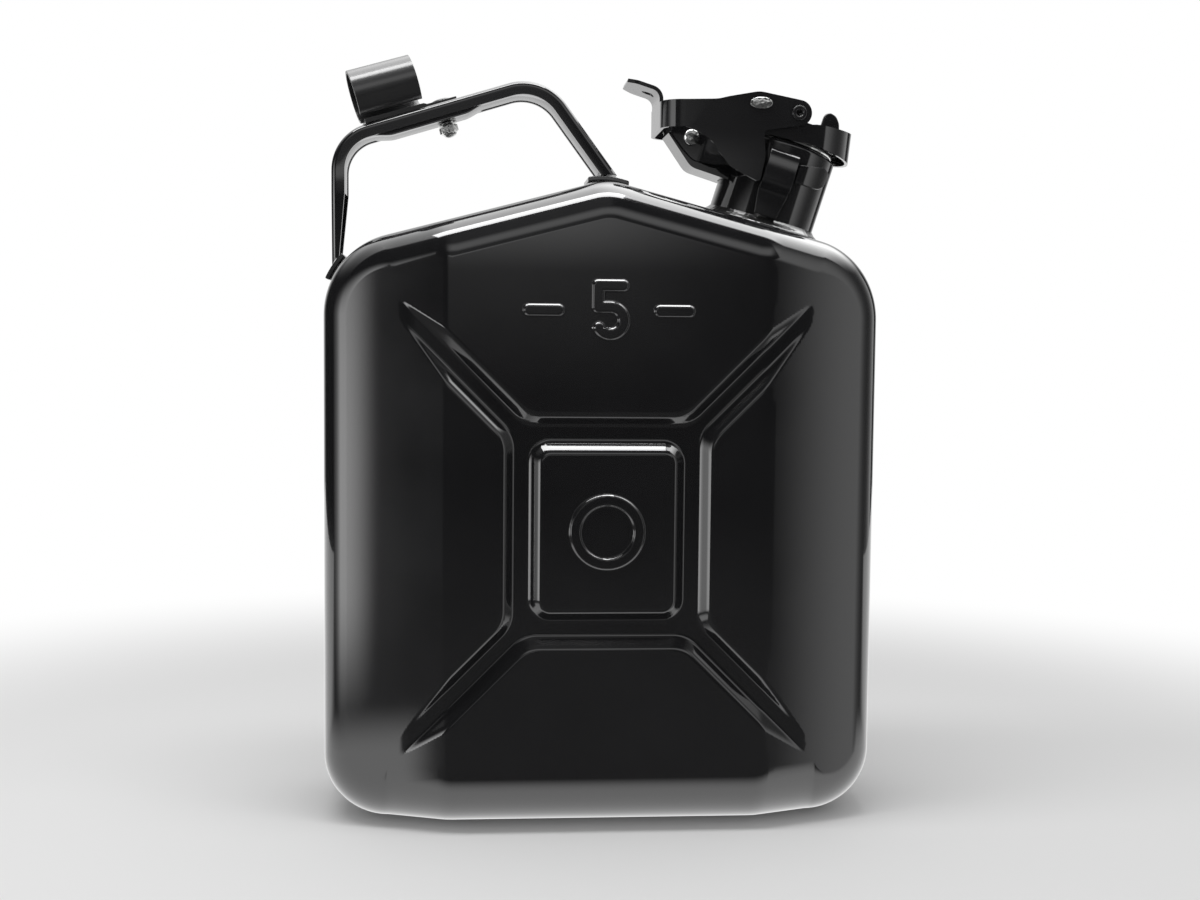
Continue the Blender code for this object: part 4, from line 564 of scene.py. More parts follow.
def fitted(name, shape, node, finish, place=Matrix(), sheet=0.0, joins=(), cuts=(), ease=0.0,
           sharp=35.0):
    """Makes one piece in the can's frame: its sheet thickness, its joined and cut shapes, and its
    eased edges. It then stands for its node, on the node's body.
    """
    piece = raw_piece(name, shape, place)
    if sheet:
        wall = piece.modifiers.new("sheet", "SOLIDIFY")
        wall.thickness = sheet
        wall.offset = 0.0
        wall.use_even_offset = True
    tools = []
    for operation, shapes in (("UNION", joins), ("DIFFERENCE", cuts)):
        for tool_shape in shapes:
            tool = raw_piece(name + "_tool", tool_shape, place)
            change = piece.modifiers.new("change", "BOOLEAN")
            change.operation = operation
            change.solver = "EXACT"
            change.object = tool
            tools.append(tool)
    if sheet or tools:
        bpy.context.view_layer.update()
        graph = bpy.context.evaluated_depsgraph_get()
        made = bpy.data.meshes.new_from_object(piece.evaluated_get(graph))
        piece.modifiers.clear()
        piece.data = made
        for tool in tools:
            bpy.data.objects.remove(tool)
    mesh = piece.data
    mesh.name = name
    mesh.materials.clear()
    mesh.materials.append(finish)
    mesh.shade_smooth()
    mesh.set_sharp_from_angle(angle=math.radians(sharp))
    if ease:
        edge = piece.modifiers.new("edge", "BEVEL")
        edge.width = ease
        edge.segments = 3
        edge.limit_method = "ANGLE"
        edge.angle_limit = math.radians(sharp)
        edge.harden_normals = True
        edge.miter_outer = "MITER_ARC"
    bodies = frame["record"]["behaviour"]["bodies"]
    body = next(name for name, nodes in bodies.items() if node in nodes)
    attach(piece, body)
    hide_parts(node)
    return piece


def seam_bead():
    outline = tank_outline()
    closed = np.vstack([outline, outline[:1]])
    run = np.concatenate([[0.0], np.cumsum(np.linalg.norm(np.diff(closed[:, :2], axis=0), axis=1))])
    places = np.arange(0.0, run[-1], WELD_STEP)
    stations = np.stack([np.interp(places, run, closed[:, c]) for c in range(4)], axis=1)
    welded = np.array([groove_at(x, z) > WELD_SEAT for x, z in stations[:, :2]])
    gap_end = int(np.nonzero(~welded)[0].max()) + 1
    stations = np.roll(stations, -gap_end, axis=0)[np.roll(welded, -gap_end)]
    rings = []
    for i, (x, z, nx, nz) in enumerate(stations):
        wave = math.sin(2 * math.pi * i * WELD_STEP / WELD_PITCH)
        ring = []
        for angle in np.linspace(0.0, math.pi, WELD_POINTS):
            rise = (WELD_HEIGHT - WELD_RIPPLE * (1 - wave)) * math.sin(angle)
            inset = WELD_SEAT - rise
            ring.append((x - nx * inset, -WELD_HALF * math.cos(angle), z - nz * inset))
        rings.append(ring)
    return loft(rings)


weld_enamel = enamel("weld_enamel", (0.008, 0.008, 0.008), 0.22)
fitted("seam_weld_bead", seam_bead(), "seam_weld", weld_enamel)

# Filler neck
# A short tube of 1.2 mm steel, leaning outwards from the roof, with its mouth rolled in and a ring
# set on it for the gasket. A fillet weld holds it, and a breather tube runs down its inboard side.

NECK_RADIUS = 22.8 * MM
NECK_WALL = 1.2 * MM
NECK_TOP = 35.4 * MM
NECK_TAIL = 8.0 * MM
NECK_LIP_RADIUS = 18.6 * MM
NECK_LIP_ROUND = 1.8 * MM
FIT = 0.3 * MM
FILLET_REACH = 3.2 * MM
FILLET_RIPPLES = 58
FILLET_SHARES = ((0.0, 0.0), (1.0, 0.0), (0.92, 0.14), (0.75, 0.32), (0.5, 0.48), (0.28, 0.66),
                 (0.12, 0.84), (0.0, 1.0))
MOUTH_RING_RADIUS = 21.0 * MM
MOUTH_RING_HEIGHT = 2.7 * MM
BREATHER_RADIUS = 3.0 * MM
BREATHER_WALL = 0.8 * MM
BREATHER_TOP = 31.0 * MM
BREATHER_DROP = 12.0 * MM
BREATHER_BEND = 10.0 * MM
BREATHER_REACH = 6.0 * MM
BREATHER_STEPS = 28
TURNED_STEPS = 128

neck_frame = Matrix.Translation(NECK_ROOT) @ Matrix.Rotation(NECK_LEAN, 4, "Y")
neck_enamel = enamel("neck_enamel", (0.0065, 0.0065, 0.007), 0.12)


def zinc_plate(name, dent=0.0):
    """Bright zinc plate, a little uneven in tone and polish, hammered where it was upset."""
    made, tree, metal, place = blank_finish(name)
    cloud = node_for(tree, "TexNoise", {"Vector": place, "Scale": 320.0, "Detail": 5.0})["Fac"]
    polish = node_for(tree, "MapRange", {"Value": cloud, "To Min": 0.10, "To Max": 0.30})["Result"]
    facets = node_for(tree, "TexVoronoi", {
        "Vector": place, "Scale": 620.0, "Smoothness": 0.35,
    }, feature="SMOOTH_F1")["Distance"]
    bump = node_for(tree, "Bump", {"Strength": 0.25 + dent, "Distance": 0.0004, "Height": facets})
    feed(tree, metal, {
        "Metallic": 1.0, "Roughness": polish, "Normal": bump["Normal"],
        "Base Color": mixed(tree, cloud, (0.93, 0.93, 0.91), (0.76, 0.77, 0.77)),
    })
    return made


def upright(a, b, height):
    return a, b, height


def turned(profile, ease=0.25 * MM, steps=TURNED_STEPS, put=upright):
    """A closed (radius, height) profile with eased corners, turned about an axis set by put."""
    outline = eased(profile, ease)
    rings = []
    for i in range(steps):
        angle = 2 * math.pi * i / steps
        rings.append([put(p.x * math.cos(angle), p.x * math.sin(angle), p.y) for p in outline])
    return loft(rings, closed_path=True)


def headings(line):
    """The unit heading at each point of a line, from the points on either side."""
    last = len(line) - 1
    return [(Vector(line[min(i + 1, last)]) - Vector(line[max(i - 1, 0)])).normalized()
            for i in range(last + 1)]


def neck_fillet():
    tilt = NECK_LEAN - ROOF_ANGLE
    rings = []
    steps = FILLET_RIPPLES * 6
    for i in range(steps):
        angle = 2 * math.pi * i / steps
        swell = 0.97 + 0.012 * math.sin(FILLET_RIPPLES * angle) + 0.018 * math.sin(5 * angle)
        ring = []
        for out_share, up_share in FILLET_SHARES:
            radius = NECK_RADIUS + FIT + FILLET_REACH * out_share * swell
            u, y = radius * math.cos(angle), radius * math.sin(angle)
            roof = (u * math.sin(tilt) - abs(y) * DRAFT) / math.cos(tilt)
            ring.append((u, y, roof + FIT + FILLET_REACH * up_share * swell))
        rings.append(ring)
    return loft(rings, closed_path=True)


def breather():
    u = -(NECK_RADIUS - NECK_WALL - FIT - BREATHER_RADIUS)
    path = [(u, BREATHER_TOP), (u, -BREATHER_DROP / 2)]
    path += arc((u - BREATHER_BEND, -BREATHER_DROP), BREATHER_BEND, 0.0, -math.pi / 3, 14)
    last = Vector(path[-1])
    path.append(last - Vector((math.cos(math.pi / 6), math.sin(math.pi / 6))) * BREATHER_REACH)
    outer, inner = [], []
    for (x, z), along in zip(path, headings(path)):
        aside = Vector((along.y, -along.x))
        for radius, rings in ((BREATHER_RADIUS, outer), (BREATHER_RADIUS - BREATHER_WALL, inner)):
            ring = []
            for k in range(BREATHER_STEPS):
                angle = 2 * math.pi * k / BREATHER_STEPS
                side = aside * (radius * math.cos(angle))
                ring.append((x + side.x, radius * math.sin(angle), z + side.y))
            rings.append(ring)
    return loft(outer + inner[::-1], closed_path=True)


neck_profile = [(NECK_RADIUS, -NECK_TAIL)]
neck_profile += arc(
    (NECK_RADIUS - NECK_LIP_ROUND, NECK_TOP - NECK_LIP_ROUND), NECK_LIP_ROUND, 0.0, math.pi / 2, 8
)
neck_profile += [
    (NECK_LIP_RADIUS, NECK_TOP), (NECK_LIP_RADIUS, NECK_TOP - NECK_WALL),
    (NECK_RADIUS - NECK_WALL, NECK_TOP - NECK_LIP_ROUND - NECK_WALL / 2),
    (NECK_RADIUS - NECK_WALL, -NECK_TAIL),
]
fitted("filler_neck", turned(neck_profile), "neck_tube", neck_enamel, neck_frame)
fitted("neck_fillet", neck_fillet(), "neck_weld", weld_enamel, neck_frame)
ring_low = NECK_TOP + FIT
ring_high = ring_low + MOUTH_RING_HEIGHT
fitted("mouth_seat", turned([
    (NECK_LIP_RADIUS, ring_low), (MOUTH_RING_RADIUS, ring_low), (MOUTH_RING_RADIUS, ring_high),
    (NECK_LIP_RADIUS, ring_high),
], 0.9 * MM), "mouth_ring", zinc_plate("ring_zinc"), neck_frame)
fitted("breather_tube", breather(), "vent_tube", neck_enamel, neck_frame)

# Latch straps and leaves
# On each side of the neck a strap of 1.5 mm strip is welded flat, steps out and rolls back in over
# a pocket for the lever's nose. A leaf beside it hugs the neck and braces it.

STRAP_U = -2.4 * MM
STRAP_HALF = 6.3 * MM
STRAP_FOOT_HALF = 4.7 * MM
STRAP_SHEET = 1.5 * MM
STRAP_FOOT = 2.5 * MM
STRAP_STEP_LOW = 13.0 * MM
STRAP_STEP_HIGH = 16.5 * MM
STRAP_STEP_OUT = 3.0 * MM
STRAP_CURVE = 17.5 * MM
STRAP_TOP = 29.2 * MM
STRAP_STEPS = 20
STRAP_END = 0.995
LEAF_TURN = math.radians(41.0)
LEAF_FOOT = 19.8 * MM
LEAF_HEIGHT = 10.5 * MM
LEAF_TIP = 0.62
LEAF_STEPS = 28
SHEET_EDGE = 0.65 * MM


def latch_strap(side):
    inner = NECK_RADIUS + FIT
    out = inner + STRAP_STEP_OUT
    course = eased([
        (inner, STRAP_FOOT), (inner, STRAP_STEP_LOW), (out, STRAP_STEP_HIGH), (out, STRAP_CURVE)
    ], 1.6 * MM, 5, closed=False)
    for i in range(1, STRAP_STEPS + 1):
        share = STRAP_END * math.sin(math.pi / 2 * i / STRAP_STEPS)
        course.append(Vector((
            out - STRAP_STEP_OUT * (1 - math.sqrt(1 - share ** 3)),
            STRAP_CURVE + (STRAP_TOP - STRAP_CURVE) * share,
        )))
    rings = []
    for here, along in zip(course, headings(course)):
        outward = Vector((along.y, -along.x)) * STRAP_SHEET
        taper = smooth_step(STRAP_FOOT, STRAP_STEP_LOW, here.y)
        half = STRAP_FOOT_HALF + (STRAP_HALF - STRAP_FOOT_HALF) * float(taper)
        rings.append([
            (STRAP_U + edge * half, side * (here.x + outward.x * depth), here.y + outward.y * depth)
            for edge, depth in ((-1, 0), (1, 0), (1, 1), (-1, 1))
        ])
    return loft(rings)


def latch_leaf(side):
    inner = NECK_RADIUS + FIT
    start = math.asin((STRAP_U + STRAP_HALF + FIT + STRAP_SHEET / 2) / inner)
    rings = []
    for i in range(LEAF_STEPS + 1):
        share = i / LEAF_STEPS
        tip = max(0.0, (share - LEAF_TIP) / (1.0 - LEAF_TIP))
        close = 1.0 - math.sqrt(max(0.0, 1.0 - tip ** 2))
        low = 0.10 * share ** 2 + 0.52 * close
        high = min(0.71 + 0.40 * share, 1.0) - 0.20 * close
        angle = start + LEAF_TURN * share
        outer = inner + STRAP_SHEET
        rings.append([
            (radius * math.sin(angle), side * radius * math.cos(angle), LEAF_FOOT + LEAF_HEIGHT * h)
            for radius, h in ((inner, low), (inner, high), (outer, high), (outer, low))
        ])
    return loft(rings)


for end, side in (("front", -1), ("rear", 1)):
    for name, shape, node in (
        ("latch_strap_", latch_strap, "hook_strap_"), ("latch_leaf_", latch_leaf, "hook_wing_"),
    ):
        fitted(name + end, shape(side), node + end, neck_enamel, neck_frame,
               ease=SHEET_EDGE)

# Hinge bracket and pin
# A channel folded from 1.5 mm sheet runs inboard from the neck. Its ears carry a zinc plated pin
# with domed heads, upset by hammer after assembly.

HINGE_U = -41.0 * MM
HINGE_H = 25.0 * MM
BRACKET_HALF = 11.0 * MM
BRACKET_SHEET = 1.5 * MM
BRACKET_FLOOR = 13.4 * MM
BRACKET_KNEE_U = -37.0 * MM
BRACKET_TIP_U = -50.4 * MM
BRACKET_TIP_H = 23.8 * MM
PIN_RADIUS = 2.6 * MM
PIN_HEAD_RADIUS = 3.4 * MM
PIN_HEAD = 1.5 * MM
TAIL_HALF = 12.1 * MM
LID_SHEET = 1.4 * MM
OVERRUN = 2.0 * MM


def spun(course, put=upright, steps=48, shift=0.0, flats=None):
    """A solid turned piece from (radius, height) stations, with two radii where it is oval."""
    rings = []
    for *radii, height in course:
        ring = []
        for i in range(steps):
            angle = 2 * math.pi * (i + shift) / steps
            a, b = (min(r, flats(angle)) if flats else r for r in (radii[0], radii[-1]))
            ring.append(put(a * math.cos(angle), b * math.sin(angle), height))
        rings.append(ring)
    return loft(rings)


def across(centre, side=1):
    """Puts a turned piece along Y, about a centre in the middle plane."""
    return lambda a, b, y: (centre[0] + a, side * y, centre[1] + b)


def rod(radius, low, high, put, steps=48):
    """A plain rod for a drill."""
    return spun([(radius, low), (radius, high)], put, steps, 0.5)


def dome(radii, base, height, rim, stop, step):
    """Stations over a round head, from its rim up to the stop angle, in steps of degrees. The rim
    stands up straight by a share of the head's height.
    """
    angles = [math.radians(degrees) for degrees in range(0, stop, step)]
    return [(*[r * math.cos(a) for r in radii], base + height * (rim + (1 - rim) * math.sin(a)))
            for a in angles]


def bracket_channel():
    half = BRACKET_HALF - BRACKET_SHEET / 2
    lift = BRACKET_SHEET / 2
    root_u = -NECK_RADIUS * 0.8
    floor = eased([
        (root_u, BRACKET_FLOOR + lift), (BRACKET_KNEE_U, BRACKET_FLOOR + lift),
        (BRACKET_TIP_U, BRACKET_TIP_H + lift),
    ], 2.2 * MM, 5, closed=False)
    ear = BRACKET_SHEET + PIN_HEAD_RADIUS + STRAP_SHEET
    rise = eased([
        (BRACKET_TIP_U, BRACKET_TIP_H + lift),
        (HINGE_U - ear * 0.95, HINGE_H + ear * 0.55), (HINGE_U - ear * 0.45, HINGE_H + ear * 0.95),
        (HINGE_U + ear * 0.3, HINGE_H + ear), (HINGE_U + ear * 0.9, HINGE_H + ear * 0.6),
        (HINGE_U + ear * 1.5, HINGE_H - ear * 0.1), (root_u, HINGE_H - ear * 0.1),
    ], 2.4 * MM, 4, closed=False)[1:]
    verts, faces = [], []
    for path in (floor, rise):
        for y in (-half, half):
            verts += [(p.x, y, p.y) for p in path]
    count, base = len(floor), 2 * len(floor)
    second = base + len(rise)
    for i in range(count - 1):
        faces.append((i, i + 1, count + i + 1, count + i))
    faces.append(tuple(range(count)) + tuple(range(base, second)))
    faces.append(tuple(range(count, base)) + tuple(range(second, second + len(rise))))
    return verts, faces


def headed_pin():
    face = TAIL_HALF + LID_SHEET / 2 + FIT
    half = [(PIN_RADIUS, 0.0), (PIN_RADIUS, face), (PIN_HEAD_RADIUS, face)]
    half += dome((PIN_HEAD_RADIUS,), face, PIN_HEAD, 0.3, 81, 10)
    course = [(r, -y) for r, y in reversed(half[1:])] + half[1:]
    return spun(course, across((HINGE_U, HINGE_H)))


hammered_zinc = zinc_plate("hammered_zinc", 0.35)
pin_reach = BRACKET_HALF + OVERRUN
fitted(
    "bracket_channel", bracket_channel(), "hinge_bracket", neck_enamel, neck_frame,
    sheet=BRACKET_SHEET, ease=SHEET_EDGE, cuts=(
        rod(NECK_RADIUS + FIT, 0.0, NECK_TOP, upright, TURNED_STEPS),
        rod(PIN_RADIUS + FIT, -pin_reach, pin_reach, across((HINGE_U, HINGE_H))),
    ),
)
fitted("headed_pin", headed_pin(), "hinge_pin", hammered_zinc, neck_frame)

# Lid
# One pressing of 1.4 mm sheet: a skirt from the hinge round the mouth, and a web across it. A cup
# is riveted under the web and holds the rubber ring, and a lug stands on top.

LID_HALF = 22.9 * MM
LID_NOSE_U = 4.8 * MM
LID_NOSE_DRAFT = 2.6 * MM
LID_WEB = 43.1 * MM
PIVOT_U = -2.4 * MM
PIVOT_H = 47.2 * MM
PIVOT_SHANK = 2.2 * MM
LEVER_LOBE = 5.0 * MM
CUP_SHEET = 1.0 * MM
CUP_RIM = 1.8 * MM
GASKET_BORE = 15.0 * MM
RIVET_RADIUS = 3.0 * MM
RIVET_HEAD_RADIUS = 7.2 * MM
RIVET_HEAD = 2.8 * MM
RIVET_TAIL_RADIUS = 5.5 * MM
RIVET_TAIL = 1.3 * MM
LUG_U = 12.1 * MM
LUG_LENGTH = 8.6 * MM
LUG_HEIGHT = 11.8 * MM
LUG_HALF = 1.2 * MM
NOSE_STEPS = 22

closure_enamel = enamel("closure_enamel", (0.007, 0.007, 0.0075), 0.12)


def skirt_course():
    """Half of the lid's skirt, from the tail to the nose: (u, y, bottom, top, lean inwards)."""
    web_top = LID_WEB + LID_SHEET
    ear = PIN_HEAD_RADIUS + OVERRUN + LID_SHEET
    lobe = LEVER_LOBE - FIT
    tail_u = HINGE_U + ear
    wide_u = -(NECK_RADIUS - FIT)
    strap_left = STRAP_U - STRAP_HALF
    middle_u = (tail_u + wide_u) / 2
    rows = [
        (HINGE_U - ear * 1.33, TAIL_HALF, HINGE_H - ear * 0.08, HINGE_H + ear * 0.22),
        (HINGE_U - ear * 0.85, TAIL_HALF, HINGE_H - ear * 0.42, HINGE_H + ear * 0.7),
        (HINGE_U - ear * 0.3, TAIL_HALF, HINGE_H - ear * 0.82, HINGE_H + ear),
        (HINGE_U + ear * 0.53, TAIL_HALF, HINGE_H - ear * 1.27, HINGE_H + ear * 1.12),
        (tail_u, TAIL_HALF, HINGE_H - ear * 1.25, HINGE_H + ear * 1.5),
        (middle_u, (TAIL_HALF + LID_HALF) / 2, HINGE_H - ear * 1.2, LID_WEB - FIT),
        (wide_u, LID_HALF, HINGE_H - ear, web_top),
        ((wide_u + strap_left) / 2 - OVERRUN / 2, LID_HALF, HINGE_H + ear * 0.2, web_top),
        (strap_left - OVERRUN * 2, LID_HALF, NECK_TOP - FIT, web_top),
        (PIVOT_U - lobe, LID_HALF, NECK_TOP, web_top + FIT),
        (PIVOT_U - lobe * 0.66, LID_HALF, NECK_TOP + FIT, PIVOT_H + lobe * 0.7),
        (PIVOT_U, LID_HALF, NECK_TOP + FIT, PIVOT_H + lobe),
        (PIVOT_U + lobe * 0.66, LID_HALF, NECK_TOP + FIT * 2, PIVOT_H + lobe * 0.7),
        (PIVOT_U + lobe, LID_HALF, NECK_TOP + FIT * 3, web_top + FIT),
    ]
    course = [tuple(v) + (0.0,) for v in eased([Vector(r) for r in rows], 2.0 * MM, 3, closed=False)]
    for i in range(NOSE_STEPS + 1):
        share = i / NOSE_STEPS
        angle = math.pi / 2 * (1 - share)
        course.append((
            LID_NOSE_U + LID_HALF * math.cos(angle), LID_HALF * math.sin(angle),
            NECK_TOP + LID_SHEET, web_top + FIT + LID_HALF * 0.24 * share ** 0.7,
            LID_NOSE_DRAFT * math.cos(angle),
        ))
    return course


def lid_pressing():
    """The skirt's rings, and the web's outline as far as the middle of the skirt's sheet."""
    half = skirt_course()
    full = [(u, -y, low, top, lean) for u, y, low, top, lean in half] + half[-2::-1]
    rings, plan = [], [(FIT - NECK_RADIUS, -LID_HALF)]
    for i, (u, y, low, top, lean) in enumerate(full):
        before, here = Vector(full[max(i - 1, 0)][:2]), Vector((u, y))
        after = Vector(full[min(i + 1, len(full) - 1)][:2])
        into = (here - before).normalized() if i else (after - here).normalized()
        out_of = (after - here).normalized() if i < len(full) - 1 else into
        along = (into + out_of).normalized()
        side = Vector((along.y, -along.x)) * (LID_SHEET / 2 / max(along.dot(into), 0.7))
        inward = Vector((u - LID_NOSE_U, y)).normalized() * lean
        rings.append([
            (u + side.x, y + side.y, low), (u + side.x - inward.x, y + side.y - inward.y, top),
            (u - side.x - inward.x, y - side.y - inward.y, top), (u - side.x, y - side.y, low),
        ])
        if u > LID_NOSE_U - FIT:
            rise = (LID_WEB + LID_SHEET / 2 - low) / (top - low)
            plan.append((u - inward.x * rise, y - inward.y * rise))
    plan.append((FIT - NECK_RADIUS, LID_HALF))
    return rings, plan


skirt_rings, web_plan = lid_pressing()
lid_reach = LID_HALF + LID_SHEET + OVERRUN
fitted(
    "lid_pressing", loft(skirt_rings), "lid_bridge", closure_enamel, neck_frame,
    joins=(loft([[(u, y, h) for u, y in web_plan] for h in (LID_WEB, LID_WEB + LID_SHEET)]),),
    cuts=(
        rod(PIN_RADIUS + FIT, -lid_reach, lid_reach, across((HINGE_U, HINGE_H))),
        rod(PIVOT_SHANK + FIT, -lid_reach, lid_reach, across((PIVOT_U, PIVOT_H))),
        rod(RIVET_RADIUS + FIT, LID_WEB - OVERRUN, LID_WEB + LID_SHEET + OVERRUN, upright),
    ),
    ease=SHEET_EDGE, sharp=40.0,
)

bright_zinc = zinc_plate("bright_zinc")
cup_outer = LID_HALF - LID_SHEET / 2 - FIT
cup_top = LID_WEB - FIT
cup_under = cup_top - CUP_SHEET
fitted("gasket_cup", turned([
    (RIVET_RADIUS + FIT, cup_under), (cup_outer - CUP_SHEET, cup_under),
    (cup_outer - CUP_SHEET, cup_under - CUP_RIM), (cup_outer, cup_under - CUP_RIM),
    (cup_outer, cup_top), (RIVET_RADIUS + FIT, cup_top),
]), "lid_disc", bright_zinc, neck_frame)


def gasket_rubber():
    """Fuel proof black rubber: matt, with a fine grain and a pale bloom."""
    made, tree, skin, place = blank_finish("gasket_rubber")
    grain = node_for(tree, "TexNoise", {"Vector": place, "Scale": 900.0})["Fac"]
    bloom = node_for(tree, "TexNoise", {"Vector": place, "Scale": 60.0, "Detail": 6.0})["Fac"]
    bump = node_for(tree, "Bump", {"Strength": 0.4, "Distance": 0.0001, "Height": grain})["Normal"]
    feed(tree, skin, {
        "Roughness": 0.68, "Normal": bump,
        "Base Color": mixed(tree, bloom, (0.012, 0.012, 0.012), (0.035, 0.035, 0.036)),
    })
    return made


ring_outer = cup_outer - CUP_SHEET - FIT
ring_top = cup_under - FIT
ring_foot = ring_high + FIT
fitted("gasket_ring", turned([
    (GASKET_BORE, ring_foot), (ring_outer, ring_foot), (ring_outer, ring_top), (GASKET_BORE, ring_top)
], 0.5 * MM), "lid_gasket", gasket_rubber(), neck_frame)


rivet_seat = LID_WEB + LID_SHEET + FIT
rivet_under = cup_under - FIT
rivet_course = dome((RIVET_TAIL_RADIUS,), rivet_under, -RIVET_TAIL, 0.0, 81, 10)[::-1]
rivet_course += [(RIVET_RADIUS, rivet_under), (RIVET_RADIUS, rivet_seat),
                 (RIVET_HEAD_RADIUS, rivet_seat)]
rivet_course += dome((RIVET_HEAD_RADIUS,), rivet_seat, RIVET_HEAD, 0.12, 86, 6)
fitted("cup_rivet", spun(rivet_course, steps=64), "lid_rivet", bright_zinc, neck_frame)

lug_shares = (
    (0.0, 0.0), (1.0, 0.0), (1.0, 0.42), (0.86, 0.72), (0.6, 0.94), (0.3, 1.0), (0.08, 0.92),
    (0.0, 0.78),
)
lug_outline = eased([
    (LUG_U + LUG_LENGTH * a, rivet_seat + LUG_HEIGHT * b) for a, b in lug_shares
], 1.2 * MM, 4)
fitted("lid_upright", loft([
    [(p.x, y, p.y) for p in lug_outline] for y in (-LUG_HALF, LUG_HALF)
]), "lid_lug", closure_enamel, neck_frame, ease=SHEET_EDGE)

# Cam lever
# Two side plates and a cross wall folded from one blank of 1.6 mm sheet, with the wall's top bent
# over into a finger tab. Hollow rivets hold it to the lid, and each plate has a bright stud.

LEVER_SHEET = 1.6 * MM
LEVER_HALF = 24.8 * MM
LEVER_REACH = 56.7 * MM
LEVER_LIFT = 8.7 * MM
LEVER_DROP = 29.1 * MM
LEVER_BEND = 9.0 * MM
LEVER_BEND_STEPS = 16
TAB_HALF = 14.0 * MM
TAB_LENGTH = 16.0 * MM
TAB_BEND = 5.0 * MM
TAB_RISE = 1.4 * MM
TAB_CHAMFER = 4.0 * MM
TAB_HOLE = 2.6 * MM
TAB_SLOPE = math.radians(17.6)
PIVOT_BORE = 1.3 * MM
PIVOT_FLANGE = 3.1 * MM
PIVOT_FLANGE_SHEET = 0.7 * MM
BORE_FLOOR = 0.9 * MM
STUD_REACH = 16.1 * MM
STUD_RISE = 3.8 * MM
STUD_SHANK = 2.0 * MM
STUD_HALF_LONG = 4.7 * MM
STUD_HALF_SHORT = 2.4 * MM
STUD_HEAD = 0.9 * MM

lever_frame = Matrix.Translation(neck_frame @ Vector((PIVOT_U, 0.0, PIVOT_H)))


def lever_folding():
    bend_x = -(LEVER_REACH - LEVER_BEND)
    bend_y = LEVER_HALF - LEVER_BEND
    low, top = -LEVER_DROP * 0.22, LEVER_LIFT * 0.55
    nose_shares = (
        (-0.768, -0.258), (-0.70, -0.35), (-0.648, -0.41), (-0.512, -0.773), (-0.286, -1.0),
        (-0.245, -0.62), (-0.26, -0.30), (-0.235, -0.248),
    )
    plate = [(bend_x, low)] + [(LEVER_REACH * a, LEVER_DROP * b) for a, b in nose_shares]
    plate += arc((0.0, 0.0), LEVER_LOBE * 1.08, -math.pi * 0.42, math.pi * 0.42, 16)
    plate += [
        (-LEVER_REACH * 0.296, LEVER_LIFT), (-LEVER_REACH * 0.53, LEVER_LIFT * 0.72),
        (-LEVER_REACH * 0.6, LEVER_LIFT * 0.6), (bend_x, top),
    ]
    plate = eased(plate, 2.2 * MM, 5, closed=False)[1:-1]
    verts, faces = [], []
    plan = arc((bend_x, -bend_y), LEVER_BEND, -math.pi / 2, -math.pi, LEVER_BEND_STEPS)
    plan += [(-LEVER_REACH, -TAB_HALF), (-LEVER_REACH, TAB_HALF)]
    plan += arc((bend_x, bend_y), LEVER_BEND, math.pi, math.pi / 2, LEVER_BEND_STEPS)
    for x, y in plan:
        verts += [(x, y, low), (x, y, top)]
    for i in range(len(plan) - 1):
        faces.append((2 * i, 2 * i + 2, 2 * i + 3, 2 * i + 1))
    for column, y in ((0, -LEVER_HALF), (2 * len(plan) - 2, LEVER_HALF)):
        start = len(verts)
        verts += [(p.x, y, p.y) for p in plate]
        faces.append((column,) + tuple(range(start, len(verts))) + (column + 1,))
    centre = (-LEVER_REACH - TAB_BEND, top + TAB_RISE)
    bend = arc(centre, TAB_BEND, 0.0, math.pi / 2 - TAB_SLOPE, 12)
    course = [(x, z, TAB_HALF) for x, z in bend]
    heading = Vector((-math.cos(TAB_SLOPE), math.sin(TAB_SLOPE)))
    flat = TAB_LENGTH - TAB_BEND - TAB_CHAMFER
    corner = eased([
        (0.0, TAB_HALF), (flat, TAB_HALF), (flat + TAB_CHAMFER, TAB_HALF - TAB_CHAMFER)
    ], 1.6 * MM, 5, closed=False)
    for run, half in [tuple(p) for p in corner[1:]]:
        place = Vector(bend[-1]) + heading * run
        course.append((place.x, place.y, half))
    row = (2 * (LEVER_BEND_STEPS + 1) + 1, 2 * (LEVER_BEND_STEPS + 2) + 1)
    for x, z, half in course:
        start = len(verts)
        verts += [(x, -half, z), (x, half, z)]
        faces.append((row[0], row[1], start + 1, start))
        row = (start, start + 1)
    hole = Vector(bend[-1]) + heading * (flat / 8)
    return (verts, faces), hole


lever_shape, tab_hole = lever_folding()
plate_reach = LEVER_HALF + LEVER_SHEET + OVERRUN
fitted(
    "lever_folding", lever_shape, "lever", closure_enamel, lever_frame,
    sheet=LEVER_SHEET, ease=SHEET_EDGE, cuts=(
        rod(PIVOT_SHANK + FIT, -plate_reach, plate_reach, across((0.0, 0.0))),
        rod(STUD_SHANK + FIT, -plate_reach, plate_reach, across((-STUD_REACH, STUD_RISE))),
        rod(TAB_HOLE, tab_hole.y - TAB_BEND, tab_hole.y + TAB_BEND,
            lambda a, b, height: (tab_hole.x + a, b, height)),
    ),
)


